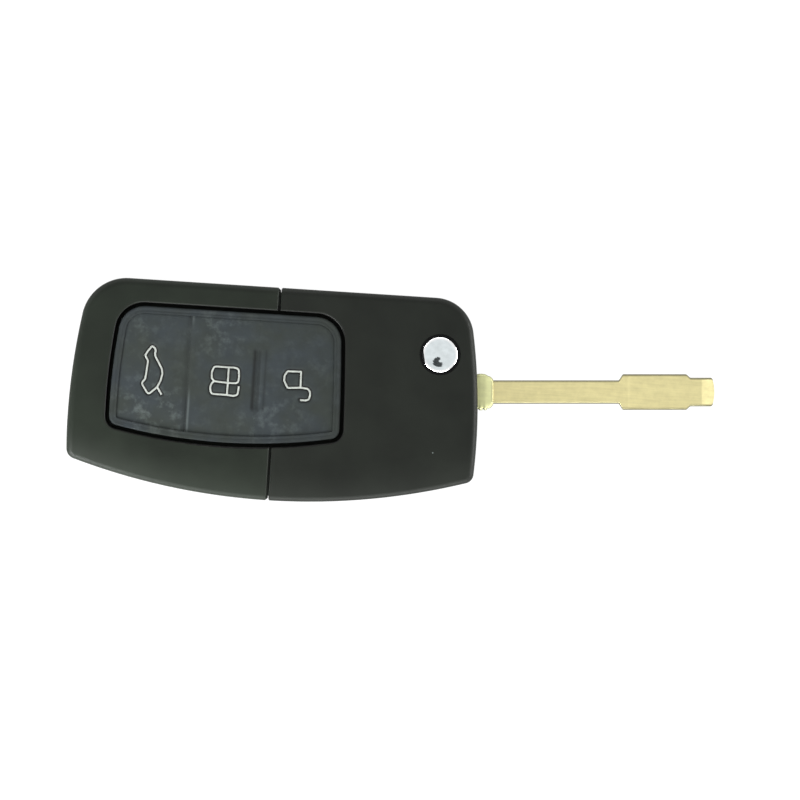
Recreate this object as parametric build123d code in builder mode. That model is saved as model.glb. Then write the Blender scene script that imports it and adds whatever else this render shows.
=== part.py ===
from build123d import *
import os
from math import cos, radians, sin, sqrt

# A folding car key in its empty shell. A head section carries a sprung blade that swings out from
# a slot round its edge, and a remote section with three soft keys plugs into the head.
# Millimetres. Looking at the buttons, X runs along the straight top edge towards the blade end,
# Y up to that edge and Z towards the viewer. The origin is on the back face, under the pivot.

# Body outline, each place measured from the pivot
body_thickness = 16.0
pivot_to_top = 10.28
pivot_to_bottom_corners = 22.6
tail_top_x = -63.85
tail_bottom_x = -66.5
nose_top_x = 4.55
nose_bottom_x = 7.4
bottom_bow = 5.77
tail_bow = 1.15
nose_bow = 1.25
tail_top_radius = 8.2
nose_top_radius = 7.2
tail_bottom_radius = 1.9
nose_bottom_radius = 1.8

# Mouldings
wall = 1.5
front_edge_radius = 1.3
back_edge_radius = 1.2
roll_off_width = 6.5
roll_off_drop = 1.3
core_height = 3.0
parting_chamfer = 0.12
pry_notch_width = 6.0
pry_notch_depth = 0.7
pry_notch_height = 0.7
pry_notch_y = -7.0
piece_gap = 0.3
close_gap = 0.1
least_radius = 0.4
cut_past = 2.0

# Seam between the head and the remote section
seam_x = -29.6
seam_gap = 0.4
seam_chamfer = 0.2
seam_depth = 0.8

# Key panel, each corner measured in from the body corner beside it
panel_top_border = 4.23
panel_bottom_border = 5.85
panel_tail_top_inset = 5.55
panel_tail_bottom_inset = 6.75
panel_nose_top_x = -17.65
panel_nose_bottom_x = -16.6
panel_bottom_bow = 2.3
panel_tail_bow = 0.6
panel_nose_bow = 0.15
panel_upper_radius = 5.35
panel_lower_radius = 2.35
panel_groove = 0.65
panel_lip_radius = 0.35
rim_width = 1.2
rim_sunk = 0.3
key_sunk = 0.45
key_gap = 0.14
trunk_key_gap = 0.3
key_rounding = 0.12
key_thickness = 2.9
key_travel = 0.6
first_divider_x = -45.3
second_divider_x = -32.85
divider_trough_width = 0.9
divider_trough_depth = 0.12
divider_trough_length = 11.2
divider_trough_y = -6.7
plunger_radius = 1.9
deck_thickness = 1.1
pad_base = 0.8

# Line symbols moulded into the keys
stroke_width = 0.36
stroke_depth = 0.12
symbol_row_y = -7.3
trunk_symbol_x = -52.0
trunk_symbol_y = -5.8
lock_symbol_x = -38.5
unlock_symbol_x = -25.45

# Blade, along its own length and measured from the pivot
open_angle = 3.68
blade_offset = 6.75
blade_thickness = 2.2
collar_width = 6.7
collar_thickness = 3.3
collar_end = 9.8
collar_corner_radius = 0.8
collar_edge_radius = 0.3
rod_diameter = 4.3
bit_start = 33.0
bit_diameter = 6.55
bit_end = 45.45
end_diameter = 5.25
blade_reach = 50.1
end_bow = 0.4
step_slope = 0.9
bevel_length = 2.35
bevel_edge = 0.9
tang_width = 3.5
tang_thickness = 2.0
tang_back = 2.9

# Swinging carrier and its spring
hub_radius = 5.3
hub_clearance = 0.08
arm_thickness = 3.4
arm_back = 4.2
arm_front = 6.2
arm_margin = 3.25
arm_rounding = 0.6
swing_clearance = 0.5
cup_radius = 4.3
cup_floor = 1.2
spring_wire = 0.7
spring_diameter = 6.6
spring_turns = 6
pin_radius = 0.8
pin_bore_radius = 0.4
pin_slit = 0.2
pin_x = 2.0
pin_play = 0.02

# Release button
button_radius = 3.27
button_hole_radius = 3.73
button_dome = 0.35
button_proud = 0.05
button_flange_height = 1.5
button_travel = 1.5
button_flat = 2.88
button_flat_depth = 0.7
button_flat_angle = 192.1
button_edge_radius = 0.3

# Rear pivot cap
cap_radius = 4.6
cap_thickness = 1.15
cap_seat = 1.25
cap_post_radius = 1.5
cap_edge_radius = 0.2
cap_slot_width = 0.9
cap_slot_length = 6.1
cap_slot_depth = 0.4

# Head screws
screw_places = [(1.2, -18.6), (-11.2, -21.6)]
screw_radius = 0.9
screw_length = 11.0
screw_head_radius = 1.8
screw_head_height = 1.1
screw_head_sunk = 0.3
screw_drive = 1.3
screw_drive_depth = 0.6
post_radius = 2.6

# Tray that plugs the remote section into the head
tray_wall = 1.2
tray_end_x = -16.6
tray_bottom_y = -19.5
hook_places = [-4.0, -13.5]
hook_width = 3.0
hook_thickness = 1.2
hook_reach = 2.6
hook_catch = 0.7
bulkhead = 1.2

# Cell holder and its contacts
cell_radius = 10.0
cell_x = -48.5
cell_y = -9.8
holder_wall = 1.05
holder_height = 3.3
contact_sheet = 0.3
contact_width = 4.0
contact_rise = 0.5
contact_under_cell = 15.0
side_contact_reach = 2.0
under_contact_reach = 1.0

# Transponder holder
transponder_length = 12.0
transponder_width = 3.2
transponder_depth = 3.0
holder_side = 0.9
transponder_y = -6.5

# Key ring hole through the tail corner
ring_radius = 2.0
ring_z = 3.7
ring_corner = 4.4

# Levels and places that follow from the sizes above
mid_z = body_thickness / 2
slot_half = arm_thickness / 2 + piece_gap
slot_low = mid_z - slot_half
slot_high = mid_z + slot_half
face_under = body_thickness - wall
deck_top = slot_high + deck_thickness
pad_base_top = deck_top + pad_base
key_top = body_thickness - key_sunk
key_bottom = key_top - key_thickness
hub_floor = cap_thickness + cap_seat
screw_end = screw_head_sunk + screw_head_height + screw_length
hub_bottom = hub_floor + 2 * close_gap
hub_top = face_under - 2 * close_gap
cup_bottom = hub_bottom + cup_floor
flange_top = face_under - piece_gap
flange_bottom = flange_top - button_flange_height
collar_half = collar_width / 2
swing_radius = sqrt(arm_front**2 + (blade_offset + arm_margin) ** 2) + swing_clearance
strip_inner_y = blade_offset - collar_half - piece_gap - close_gap
strip_end_x = -(blade_reach + 2 * piece_gap)
bay_top_y = strip_inner_y - tray_wall
tray_top_y = strip_inner_y - piece_gap
bulkhead_x = tray_end_x + 2 * piece_gap
transponder_bay_x = bulkhead_x + bulkhead
hook_z = 2 * wall + piece_gap
hub_wall_x = -(hub_radius + hub_clearance + wall)
transponder_bay_end_x = -(hub_radius + 2 * wall)
far = 90.0

body_corners = [
    (tail_top_x, pivot_to_top),
    (nose_top_x, pivot_to_top),
    (nose_bottom_x, -pivot_to_bottom_corners),
    (tail_bottom_x, -pivot_to_bottom_corners),
]
body_bows = [0.0, nose_bow, bottom_bow, tail_bow]
body_radii = [tail_top_radius, nose_top_radius, nose_bottom_radius, tail_bottom_radius]

panel_top_y = pivot_to_top - panel_top_border
panel_bottom_y = panel_bottom_border - pivot_to_bottom_corners
panel_corners = [
    (tail_top_x + panel_tail_top_inset, panel_top_y),
    (panel_nose_top_x, panel_top_y),
    (panel_nose_bottom_x, panel_bottom_y),
    (tail_bottom_x + panel_tail_bottom_inset, panel_bottom_y),
]
panel_bows = [0.0, panel_nose_bow, panel_bottom_bow, panel_tail_bow]
panel_radii = [panel_upper_radius, panel_upper_radius, panel_lower_radius, panel_lower_radius]

open_direction = (cos(radians(open_angle)), sin(radians(open_angle)), 0)
blade_plane = Plane(origin=(0, 0, 0), x_dir=open_direction, z_dir=(0, 0, 1))


def outline(corners, bows, radii, inset=0.0):
    """A closed outline with a bow in each side and a radius at each corner, drawn in by inset."""
    with BuildSketch() as shape:
        with BuildLine():
            for start, end, bow in zip(corners, corners[1:] + corners[:1], bows):
                if bow:
                    SagittaArc(start, end, bow)
                else:
                    Line(start, end)
        make_face()
        if inset:
            offset(amount=-inset, kind=Kind.INTERSECTION)
        for corner, radius in zip(corners, radii):
            fillet(shape.vertices().sort_by_distance(corner)[0], max(radius - inset, least_radius))
    return shape.sketch


def body_outline(inset=0.0):
    return outline(body_corners, body_bows, body_radii, inset)


def panel_outline(inset=0.0):
    return outline(panel_corners, panel_bows, panel_radii, inset)


def rectangle_between(x_low, x_high, y_low, y_high, mode=Mode.ADD):
    with Locations(((x_low + x_high) / 2, (y_low + y_high) / 2)):
        Rectangle(x_high - x_low, y_high - y_low, mode=mode)


def box_between(x_low, x_high, y_low, y_high, z_low, z_high, mode=Mode.ADD):
    with Locations(((x_low + x_high) / 2, (y_low + y_high) / 2, (z_low + z_high) / 2)):
        Box(x_high - x_low, y_high - y_low, z_high - z_low, mode=mode)


def inner_region(x_low, x_high, y_high):
    """The inside of the body's wall between two stations, up to the height y_high."""
    with BuildSketch() as region:
        add(body_outline(wall))
        rectangle_between(x_low, x_high, -far, y_high, Mode.INTERSECT)
    return region.sketch


def slot_region():
    """Where the carrier swings, and the strip along the top edge where the folded blade lies."""
    open_stop_x = -(arm_back + piece_gap + close_gap)
    folded_stop_x = -(arm_front + piece_gap + close_gap)
    with BuildSketch() as region:
        Circle(swing_radius)
        with Locations(Location((0, 0, 0), (0, 0, open_angle))):
            rectangle_between(-far, open_stop_x, -far, -piece_gap, Mode.SUBTRACT)
        rectangle_between(-far, folded_stop_x, -far, strip_inner_y, Mode.SUBTRACT)
        rectangle_between(strip_end_x, 2 * swing_radius, strip_inner_y, far)
    return region.sketch


def bottom_arc():
    """Centre height and radius of the long bottom edge, whose middle is half way along it."""
    half_chord = (nose_bottom_x - tail_bottom_x) / 2
    radius = (half_chord**2 + bottom_bow**2) / (2 * bottom_bow)
    middle_x = (nose_bottom_x + tail_bottom_x) / 2
    centre_y = radius - bottom_bow - pivot_to_bottom_corners
    return middle_x, centre_y, radius


def front_block():
    """The front half of the body before it is parted: a flat face that rolls off downwards."""
    middle_x, centre_y, radius = bottom_arc()
    roll_radius = (roll_off_width**2 + roll_off_drop**2) / (2 * roll_off_drop)
    past_drop = roll_radius - sqrt(roll_radius**2 - (roll_off_width + cut_past) ** 2)
    section = Plane(origin=(middle_x, centre_y, 0), x_dir=(0, -1, 0), z_dir=(-1, 0, 0))
    start = (radius - roll_off_width, body_thickness)
    end = (radius + cut_past, body_thickness - past_drop)
    with BuildPart() as block:
        with BuildSketch(Plane.XY.offset(mid_z)):
            add(body_outline())
        extrude(amount=body_thickness - mid_z)
        with BuildSketch(section):
            with BuildLine():
                TangentArc(start, end, tangent=(1, 0))
                Polyline(end, (end[0], body_thickness + cut_past),
                         (start[0], body_thickness + cut_past), start)
            make_face()
        revolve(axis=Axis((middle_x, centre_y, 0), (0, 0, 1)), mode=Mode.SUBTRACT)
        walls = block.faces().filter_by(lambda face: abs(face.normal_at().Z) < 0.01)
        rim = walls.edges().filter_by(lambda edge: edge.bounding_box().min.Z > mid_z + wall)
        fillet(rim, front_edge_radius)
        chamfer(block.faces().sort_by(Axis.Z)[0].edges(), parting_chamfer)
    return block.part


def rear_block():
    with BuildPart() as block:
        with BuildSketch():
            add(body_outline())
        extrude(amount=mid_z)
        fillet(block.faces().sort_by(Axis.Z)[0].edges(), back_edge_radius)
        chamfer(block.faces().sort_by(Axis.Z)[-1].edges(), parting_chamfer)
    return block.part


def seam_land(block, sunk):
    """What stands in the seam a little under the surface, so that nothing shows through it."""
    with BuildPart() as land:
        with BuildSketch():
            add(body_outline(seam_depth))
            rectangle_between(seam_x - wall, seam_x + seam_gap / 2 - close_gap, -far, far,
                              Mode.INTERSECT)
        extrude(amount=body_thickness)
        add(block, mode=Mode.INTERSECT)
        add(block.moved(Location((0, 0, sunk))), mode=Mode.INTERSECT)
    return land.part


def parted(block, towards_head):
    """One side of the seam, with its outer edges along the seam broken."""
    side = 1 if towards_head else -1
    face_x = seam_x + side * seam_gap / 2
    with BuildPart() as section:
        add(block)
        split(bisect_by=Plane(origin=(face_x, 0, 0), z_dir=(side, 0, 0)), keep=Keep.TOP)
        face = section.faces().filter_by(lambda f: abs(f.center().X - face_x) < 1e-3)[0]
        edges = face.edges().filter_by(lambda e: abs(e.center().Z - mid_z) > parting_chamfer)
        chamfer(edges, seam_chamfer)
    return section.part


def panel_rim(part):
    """The edges where the key panel's opening breaks the flat of the front face."""
    panel_box = panel_outline().bounding_box()
    flats = part.faces().filter_by(lambda face: abs(face.center().Z - body_thickness) < 1e-4)

    def round_the_panel(edge):
        box = edge.bounding_box()
        return (box.max.X < panel_box.max.X + close_gap and box.min.X > panel_box.min.X - close_gap
                and box.max.Y < panel_box.max.Y + close_gap and box.min.Y > panel_box.min.Y
                and abs(edge.center().X - seam_x) > seam_gap)

    return flats.sort_by(SortBy.AREA)[-1].edges().filter_by(round_the_panel)


front = front_block()
rear = rear_block()

os.makedirs("parts", exist_ok=True)

# Head front cover: face, button hole, and the notch that wraps the end of the key panel
with BuildPart() as head_front_cover:
    add(parted(front, True))
    with BuildSketch(Plane.XY.offset(mid_z)):
        add(inner_region(seam_x + wall, transponder_bay_end_x, bay_top_y))
        add(panel_outline(-tray_wall), mode=Mode.SUBTRACT)
        rectangle_between(bulkhead_x, transponder_bay_x, -far, far, Mode.SUBTRACT)
    extrude(amount=face_under - mid_z, mode=Mode.SUBTRACT)
    with BuildSketch(Plane.XY.offset(mid_z)):
        add(inner_region(hub_wall_x, far, -blade_offset - arm_margin - 2 * wall))
    extrude(amount=face_under - mid_z, mode=Mode.SUBTRACT)
    with BuildSketch(Plane.XY.offset(mid_z)):
        rectangle_between(seam_x - wall, bulkhead_x, tray_bottom_y - piece_gap, strip_inner_y)
        add(panel_outline(-tray_wall))
        rectangle_between(-far, bulkhead_x, -far, far, Mode.INTERSECT)
    extrude(amount=deck_top + piece_gap - mid_z, mode=Mode.SUBTRACT)
    with BuildSketch(Plane.XY.offset(mid_z)):
        add(slot_region())
    extrude(amount=slot_high - mid_z, mode=Mode.SUBTRACT)
    with BuildSketch(Plane.XY.offset(mid_z)):
        Circle(hub_radius + hub_clearance)
    extrude(amount=face_under - mid_z, mode=Mode.SUBTRACT)
    with BuildSketch(Plane.XY.offset(mid_z)):
        add(panel_outline())
        Circle(button_hole_radius)
    extrude(amount=body_thickness, mode=Mode.SUBTRACT)
    fillet(panel_rim(head_front_cover), panel_lip_radius)
    with BuildSketch(Plane.XY.offset(mid_z)):
        with Locations(*screw_places):
            Circle(post_radius)
    extrude(amount=body_thickness - mid_z - wall / 2)
    with BuildSketch(Plane.XY.offset(mid_z)):
        with Locations(*screw_places):
            Circle(screw_radius + pin_play)
    extrude(amount=screw_end + piece_gap - mid_z, mode=Mode.SUBTRACT)
head_front_cover.part.label = "head_front_cover"
export_step(head_front_cover.part, "parts/head_front_cover.step")

# Head rear cover: floor, pivot seat, transponder bay and screw posts
with BuildPart() as head_rear_cover:
    add(parted(rear, True))
    with BuildSketch(Plane.XY.offset(wall)):
        add(inner_region(seam_x + wall, transponder_bay_end_x, bay_top_y))
        rectangle_between(seam_x - wall, bulkhead_x, tray_bottom_y - piece_gap, strip_inner_y)
        rectangle_between(bulkhead_x, transponder_bay_x, -far, far, Mode.SUBTRACT)
    extrude(amount=mid_z, mode=Mode.SUBTRACT)
    with BuildSketch(Plane.XY.offset(wall)):
        add(inner_region(hub_wall_x, far, -blade_offset - arm_margin - 2 * wall))
    extrude(amount=mid_z, mode=Mode.SUBTRACT)
    with BuildSketch(Plane.XY.offset(wall)):
        add(inner_region(seam_x + wall, hub_wall_x, far))
        rectangle_between(bulkhead_x, transponder_bay_x, -far, far, Mode.SUBTRACT)
    extrude(amount=core_height, mode=Mode.SUBTRACT)
    with BuildSketch(Plane.XY.offset(slot_low)):
        add(slot_region())
    extrude(amount=mid_z, mode=Mode.SUBTRACT)
    with BuildSketch(Plane.XY.offset(hub_floor)):
        Circle(hub_radius + hub_clearance)
    extrude(amount=mid_z, mode=Mode.SUBTRACT)
    for y in hook_places:
        box_between(bulkhead_x - wall, transponder_bay_x + wall, y - hook_width / 2 - piece_gap,
                    y + hook_width / 2 + piece_gap, hook_z - piece_gap, slot_low, Mode.SUBTRACT)
    with BuildSketch(Plane.XY.offset(wall / 2)):
        with Locations(*screw_places):
            Circle(post_radius)
    extrude(amount=mid_z - wall / 2)
    with BuildSketch():
        Circle(cap_radius + hub_clearance)
    extrude(amount=cap_thickness + close_gap, mode=Mode.SUBTRACT)
    with BuildSketch():
        Circle(cap_post_radius + hub_clearance)
        with Locations(*screw_places):
            Circle(screw_radius + close_gap)
    extrude(amount=mid_z, mode=Mode.SUBTRACT)
    with BuildSketch():
        with Locations(*screw_places):
            Circle(screw_head_radius + close_gap)
    extrude(amount=screw_head_sunk + screw_head_height, mode=Mode.SUBTRACT)
head_rear_cover.part.label = "head_rear_cover"
export_step(head_rear_cover.part, "parts/head_rear_cover.step")

# Remote front case: a C-shaped frame with the deck under the key panel
with BuildPart() as remote_front_case:
    add(parted(front, False))
    add(seam_land(front, -seam_depth))
    with BuildSketch(Plane.XY.offset(mid_z)):
        add(inner_region(-far, seam_x - wall, bay_top_y))
        add(panel_outline(-tray_wall), mode=Mode.SUBTRACT)
    extrude(amount=face_under - mid_z, mode=Mode.SUBTRACT)
    with BuildSketch(Plane.XY.offset(mid_z)):
        add(inner_region(-far, seam_x - wall, bay_top_y))
        rectangle_between(seam_x - 2 * wall, seam_x + wall, tray_bottom_y, bay_top_y)
        add(slot_region())
    extrude(amount=slot_high - mid_z, mode=Mode.SUBTRACT)
    with BuildSketch(Plane.XY.offset(deck_top)):
        add(panel_outline())
    extrude(amount=body_thickness, mode=Mode.SUBTRACT)
    fillet(panel_rim(remote_front_case), panel_lip_radius)
    with BuildSketch(Plane.XY.offset(slot_high)):
        add(panel_outline(-tray_wall + piece_gap))
        rectangle_between(seam_x - wall, tray_end_x, -far, far, Mode.INTERSECT)
    extrude(amount=deck_thickness)
    with BuildSketch(Plane.XY.offset(mid_z)):
        with Locations((trunk_symbol_x, trunk_symbol_y), (lock_symbol_x, symbol_row_y),
                       (unlock_symbol_x, symbol_row_y)):
            Circle(plunger_radius + piece_gap)
    extrude(amount=body_thickness, mode=Mode.SUBTRACT)
remote_front_case.part.label = "remote_front_case"
export_step(remote_front_case.part, "parts/remote_front_case.step")

# Remote rear case: board bay, ledge for the folded blade, key ring corner and plug-in tray
ring_middle = (tail_top_x + ring_corner, pivot_to_top - ring_corner)
ring_plane = Plane(origin=(ring_middle[0], ring_middle[1], ring_z), x_dir=(1, -1, 0),
                   z_dir=(1, 1, 0))
with BuildPart() as remote_rear_case:
    add(parted(rear, False))
    add(seam_land(rear, seam_depth))
    with BuildSketch(Plane.XY.offset(wall)):
        add(inner_region(-far, seam_x - wall, far))
        with Locations(Location((ring_middle[0], ring_middle[1], 0), (0, 0, 45))):
            Rectangle(far, 2 * (ring_radius + wall), mode=Mode.SUBTRACT)
    extrude(amount=core_height, mode=Mode.SUBTRACT)
    with BuildSketch(Plane.XY.offset(wall)):
        add(inner_region(-far, seam_x - wall, bay_top_y))
        with Locations(Location((ring_middle[0], ring_middle[1], 0), (0, 0, 45))):
            Rectangle(far, 2 * (ring_radius + wall), mode=Mode.SUBTRACT)
    extrude(amount=mid_z, mode=Mode.SUBTRACT)
    with BuildSketch(Plane.XY.offset(slot_low)):
        add(slot_region())
    extrude(amount=mid_z, mode=Mode.SUBTRACT)
    box_between(seam_x - 2 * wall, tray_end_x, tray_bottom_y, tray_top_y, wall + piece_gap, mid_z)
    box_between(seam_x + seam_gap / 2, tray_end_x, tray_bottom_y, tray_top_y,
                wall + piece_gap, slot_high)
    box_between(seam_x - 3 * wall, tray_end_x - tray_wall, tray_bottom_y + tray_wall, bay_top_y,
                wall + piece_gap + tray_wall, body_thickness, Mode.SUBTRACT)
    for y in hook_places:
        box_between(tray_end_x - tray_wall, tray_end_x + hook_reach, y - hook_width / 2,
                    y + hook_width / 2, hook_z, hook_z + hook_thickness)
        box_between(transponder_bay_x + piece_gap, tray_end_x + hook_reach, y - hook_width / 2,
                    y + hook_width / 2, hook_z, hook_z + hook_thickness + hook_catch)
    tail_x = (tail_top_x + tail_bottom_x) / 2 - tail_bow
    box_between(tail_x - pry_notch_depth, tail_x + pry_notch_depth,
                pry_notch_y - pry_notch_width / 2, pry_notch_y + pry_notch_width / 2,
                mid_z - pry_notch_height, mid_z, Mode.SUBTRACT)
    with BuildSketch(ring_plane):
        Circle(ring_radius)
    extrude(amount=far, both=True, mode=Mode.SUBTRACT)
remote_rear_case.part.label = "remote_rear_case"
export_step(remote_rear_case.part, "parts/remote_rear_case.step")

# Key panel: a soft rim with a base web that lies on the deck
key_places = {
    "trunk_key": (trunk_symbol_x, trunk_symbol_y),
    "lock_key": (lock_symbol_x, symbol_row_y),
    "unlock_key": (unlock_symbol_x, symbol_row_y),
}
with BuildPart() as keypad_frame:
    with BuildSketch(Plane.XY.offset(deck_top)):
        add(panel_outline(panel_groove))
    extrude(amount=body_thickness - rim_sunk - deck_top)
    with BuildSketch(Plane.XY.offset(pad_base_top)):
        add(panel_outline(panel_groove + rim_width))
    extrude(amount=body_thickness, mode=Mode.SUBTRACT)
    with BuildSketch(Plane.XY.offset(deck_top)):
        with Locations(*key_places.values()):
            Circle(plunger_radius + piece_gap)
    extrude(amount=body_thickness, mode=Mode.SUBTRACT)
    top_faces = keypad_frame.faces().filter_by(Axis.Z).sort_by(Axis.Z)
    fillet(top_faces[-1].edges(), key_rounding)
keypad_frame.part.label = "keypad_frame"
export_step(keypad_frame.part, "parts/keypad_frame.step")


def trunk_symbol():
    """A car from the side with its boot lid open."""
    with BuildSketch() as symbol:
        with BuildLine():
            FilletPolyline((-0.15, 4.1), (0.42, 3.66), (0.55, 3.17), (0.45, 2.76), (0.62, 2.07),
                           (1.29, 1.01), (1.86, 0.04), (2.03, -0.85), (1.79, -2.07),
                           (1.22, -3.31), (-0.15, -4.62), (-0.56, -4.42), (-1.01, -3.75),
                           (-1.65, -2.79), (-1.02, -1.95), (-0.84, -0.13), (-0.73, 1.38),
                           (-1.32, 2.25), (-0.94, 2.97), (-0.48, 3.6), radius=0.18, close=True)
        trace(line_width=stroke_width)
        with BuildLine():
            Line((1.22, -3.31), (2.11, -4.65))
        trace(line_width=stroke_width)
    return symbol.sketch


def lock_symbol():
    """Two closed cells over each other with a bar through both."""
    with BuildSketch() as symbol:
        with BuildLine():
            FilletPolyline((-2.07, -0.1), (-2.52, 0.46), (-2.56, 1.5), (-2.2, 2.6), (1.4, 2.6),
                           (2.3, 2.4), (2.42, 0.9), (2.3, -0.2), radius=0.35, close=True)
        trace(line_width=stroke_width)
        with BuildLine():
            FilletPolyline((-2.07, -0.1), (-2.5, -0.55), (-2.68, -1.3), (-2.5, -2.4),
                           (1.52, -2.54), (2.35, -2.35), (2.48, -0.75), radius=0.35)
        trace(line_width=stroke_width)
        with BuildLine():
            Line((0.46, 2.54), (0.43, -2.42))
        trace(line_width=stroke_width)
    return symbol.sketch


def unlock_symbol():
    """A padlock lying on its side with its shackle swung open."""
    with BuildSketch() as symbol:
        with BuildLine():
            FilletPolyline((0.6, -0.27), (0.55, 2.6), (-1.93, 2.55), (-2.4, 1.75), (-2.44, 0.8),
                           (-1.72, -0.46), radius=0.3, close=True)
        trace(line_width=stroke_width)
        with BuildLine():
            FilletPolyline((0.3, -0.3), (1.9, -0.37), (2.38, -0.9), (2.42, -1.6), (2.2, -2.4),
                           (1.5, -2.54), (0.67, -2.5), radius=0.3)
        trace(line_width=stroke_width)
    return symbol.sketch


def key(x_low, x_high, place, symbol, trough=False):
    """One soft key with its symbol and the plunger that reaches the board's switch."""
    inset = panel_groove + rim_width + key_gap
    with BuildPart() as piece:
        with BuildSketch(Plane.XY.offset(key_bottom)):
            add(panel_outline(inset))
            rectangle_between(x_low, x_high, -far, far, Mode.INTERSECT)
        extrude(amount=key_thickness)
        fillet(piece.faces().sort_by(Axis.Z)[-1].edges(), key_rounding)
        with BuildSketch(Plane.XY.offset(slot_high + close_gap)):
            with Locations(place):
                Circle(plunger_radius)
        extrude(amount=key_bottom - slot_high - close_gap)
        if trough:
            box_between(x_low - divider_trough_width, x_low + divider_trough_width,
                        divider_trough_y - divider_trough_length / 2,
                        divider_trough_y + divider_trough_length / 2,
                        key_top - divider_trough_depth, body_thickness, Mode.SUBTRACT)
        with BuildSketch(Plane.XY.offset(key_top - stroke_depth)):
            with Locations(place):
                add(symbol)
        extrude(amount=stroke_depth, mode=Mode.SUBTRACT)
    return piece.part


trunk_key = key(-far, first_divider_x - trunk_key_gap / 2, key_places["trunk_key"],
                trunk_symbol())
lock_key = key(first_divider_x + trunk_key_gap / 2, second_divider_x - key_gap / 2,
               key_places["lock_key"], lock_symbol())
unlock_key = key(second_divider_x + key_gap / 2, far, key_places["unlock_key"],
                 unlock_symbol(), trough=True)
for piece, label in ((trunk_key, "trunk_key"), (lock_key, "lock_key"), (unlock_key, "unlock_key")):
    piece.label = label
    export_step(piece, f"parts/{label}.step")

# Blade: an uncut blank turned about its own line and flattened on two sides
blade_line = Plane(origin=blade_plane.from_local_coords((0, -blade_offset, mid_z)),
                   x_dir=open_direction, z_dir=(0, 0, 1))
blade_side = Plane(origin=blade_line.origin, x_dir=open_direction,
                   z_dir=(open_direction[1], -open_direction[0], 0))
rod_radius = rod_diameter / 2
bit_radius = bit_diameter / 2
end_radius = end_diameter / 2
with BuildPart() as collar:
    with BuildSketch(blade_line.offset(-collar_thickness / 2)):
        rectangle_between(arm_front, collar_end, -collar_half, collar_half)
    extrude(amount=collar_thickness)
    fillet(collar.edges().filter_by(Axis.Z), collar_corner_radius)
    fillet(collar.faces().filter_by(Axis.Z).edges(), collar_edge_radius)
with BuildPart() as key_blade:
    with BuildSketch(blade_line):
        with BuildLine():
            tip = (blade_reach, 0)
            shoulder = (blade_reach - end_bow, end_radius)
            Polyline((arm_front, 0), (arm_front, rod_radius),
                     (bit_start - step_slope / 2, rod_radius),
                     (bit_start + step_slope / 2, bit_radius),
                     (bit_end - step_slope / 2, bit_radius),
                     (bit_end + step_slope / 2, end_radius), shoulder)
            TangentArc(tip, shoulder, tangent=(0, 1))
            Line(tip, (arm_front, 0))
        make_face()
    revolve(axis=Axis(blade_line.origin, blade_line.x_dir))
    with BuildSketch(blade_line.offset(-blade_thickness / 2)):
        Rectangle(far * 2, bit_diameter * 2)
    extrude(amount=blade_thickness, mode=Mode.INTERSECT)
    for side in (1, -1):
        with BuildSketch(blade_side):
            with BuildLine():
                Polyline((blade_reach - bevel_length, side * blade_thickness / 2),
                         (blade_reach, side * bevel_edge / 2), (far, side * bevel_edge / 2),
                         (far, side * blade_thickness),
                         (blade_reach - bevel_length, side * blade_thickness), close=True)
            make_face()
        extrude(amount=bit_diameter, both=True, mode=Mode.SUBTRACT)
    add(collar.part)
    with BuildSketch(blade_line.offset(-tang_thickness / 2)):
        rectangle_between(-tang_back, arm_front, -tang_width / 2, tang_width / 2)
    extrude(amount=tang_thickness)
    with BuildSketch(blade_line.offset(-blade_thickness)):
        with Locations((pin_x, 0)):
            Circle(pin_radius + pin_play)
    extrude(amount=2 * blade_thickness, mode=Mode.SUBTRACT)
key_blade.part.label = "key_blade"
export_step(key_blade.part, "parts/key_blade.step")

# Carrier: a hub with a spring cup, and an arm that holds the blade's tang
with BuildPart() as blade_carrier:
    with BuildSketch(blade_plane.offset(hub_bottom)):
        Circle(hub_radius)
    extrude(amount=hub_top - hub_bottom)
    with BuildSketch(blade_plane.offset(mid_z - arm_thickness / 2)):
        rectangle_between(-arm_back, arm_front, -blade_offset - arm_margin, 0)
    extrude(amount=arm_thickness)
    fillet(blade_carrier.edges().filter_by(Axis.Z).group_by(
        SortBy.LENGTH)[0].sort_by(Axis.Y)[:2], arm_rounding)
    with BuildSketch(blade_plane.offset(cup_bottom)):
        Circle(cup_radius)
    extrude(amount=hub_top, mode=Mode.SUBTRACT)
    with BuildSketch(blade_plane):
        Circle(cap_post_radius + hub_clearance)
    extrude(amount=hub_top, mode=Mode.SUBTRACT)
    with BuildSketch(blade_line.offset(-tang_thickness / 2 - close_gap)):
        rectangle_between(-tang_back - close_gap, far, -tang_width / 2 - close_gap,
                          tang_width / 2 + close_gap)
    extrude(amount=tang_thickness + 2 * close_gap, mode=Mode.SUBTRACT)
    with BuildSketch(blade_line.offset(-blade_thickness)):
        with Locations((pin_x, 0)):
            Circle(pin_radius + pin_play)
    extrude(amount=2 * blade_thickness, mode=Mode.SUBTRACT)
blade_carrier.part.label = "blade_carrier"
export_step(blade_carrier.part, "parts/blade_carrier.step")

# Roll pin that locks the blade's tang in the carrier, split along its length
with BuildPart() as blade_roll_pin:
    with BuildSketch(blade_line.offset(-arm_thickness / 2 + close_gap)):
        with Locations((pin_x, 0)):
            Circle(pin_radius)
            Circle(pin_bore_radius, mode=Mode.SUBTRACT)
            rectangle_between(-pin_radius - pin_slit, 0, -pin_slit / 2, pin_slit / 2,
                              Mode.SUBTRACT)
    extrude(amount=arm_thickness - 2 * close_gap)
blade_roll_pin.part.label = "blade_roll_pin"
export_step(blade_roll_pin.part, "parts/blade_roll_pin.step")

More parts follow.
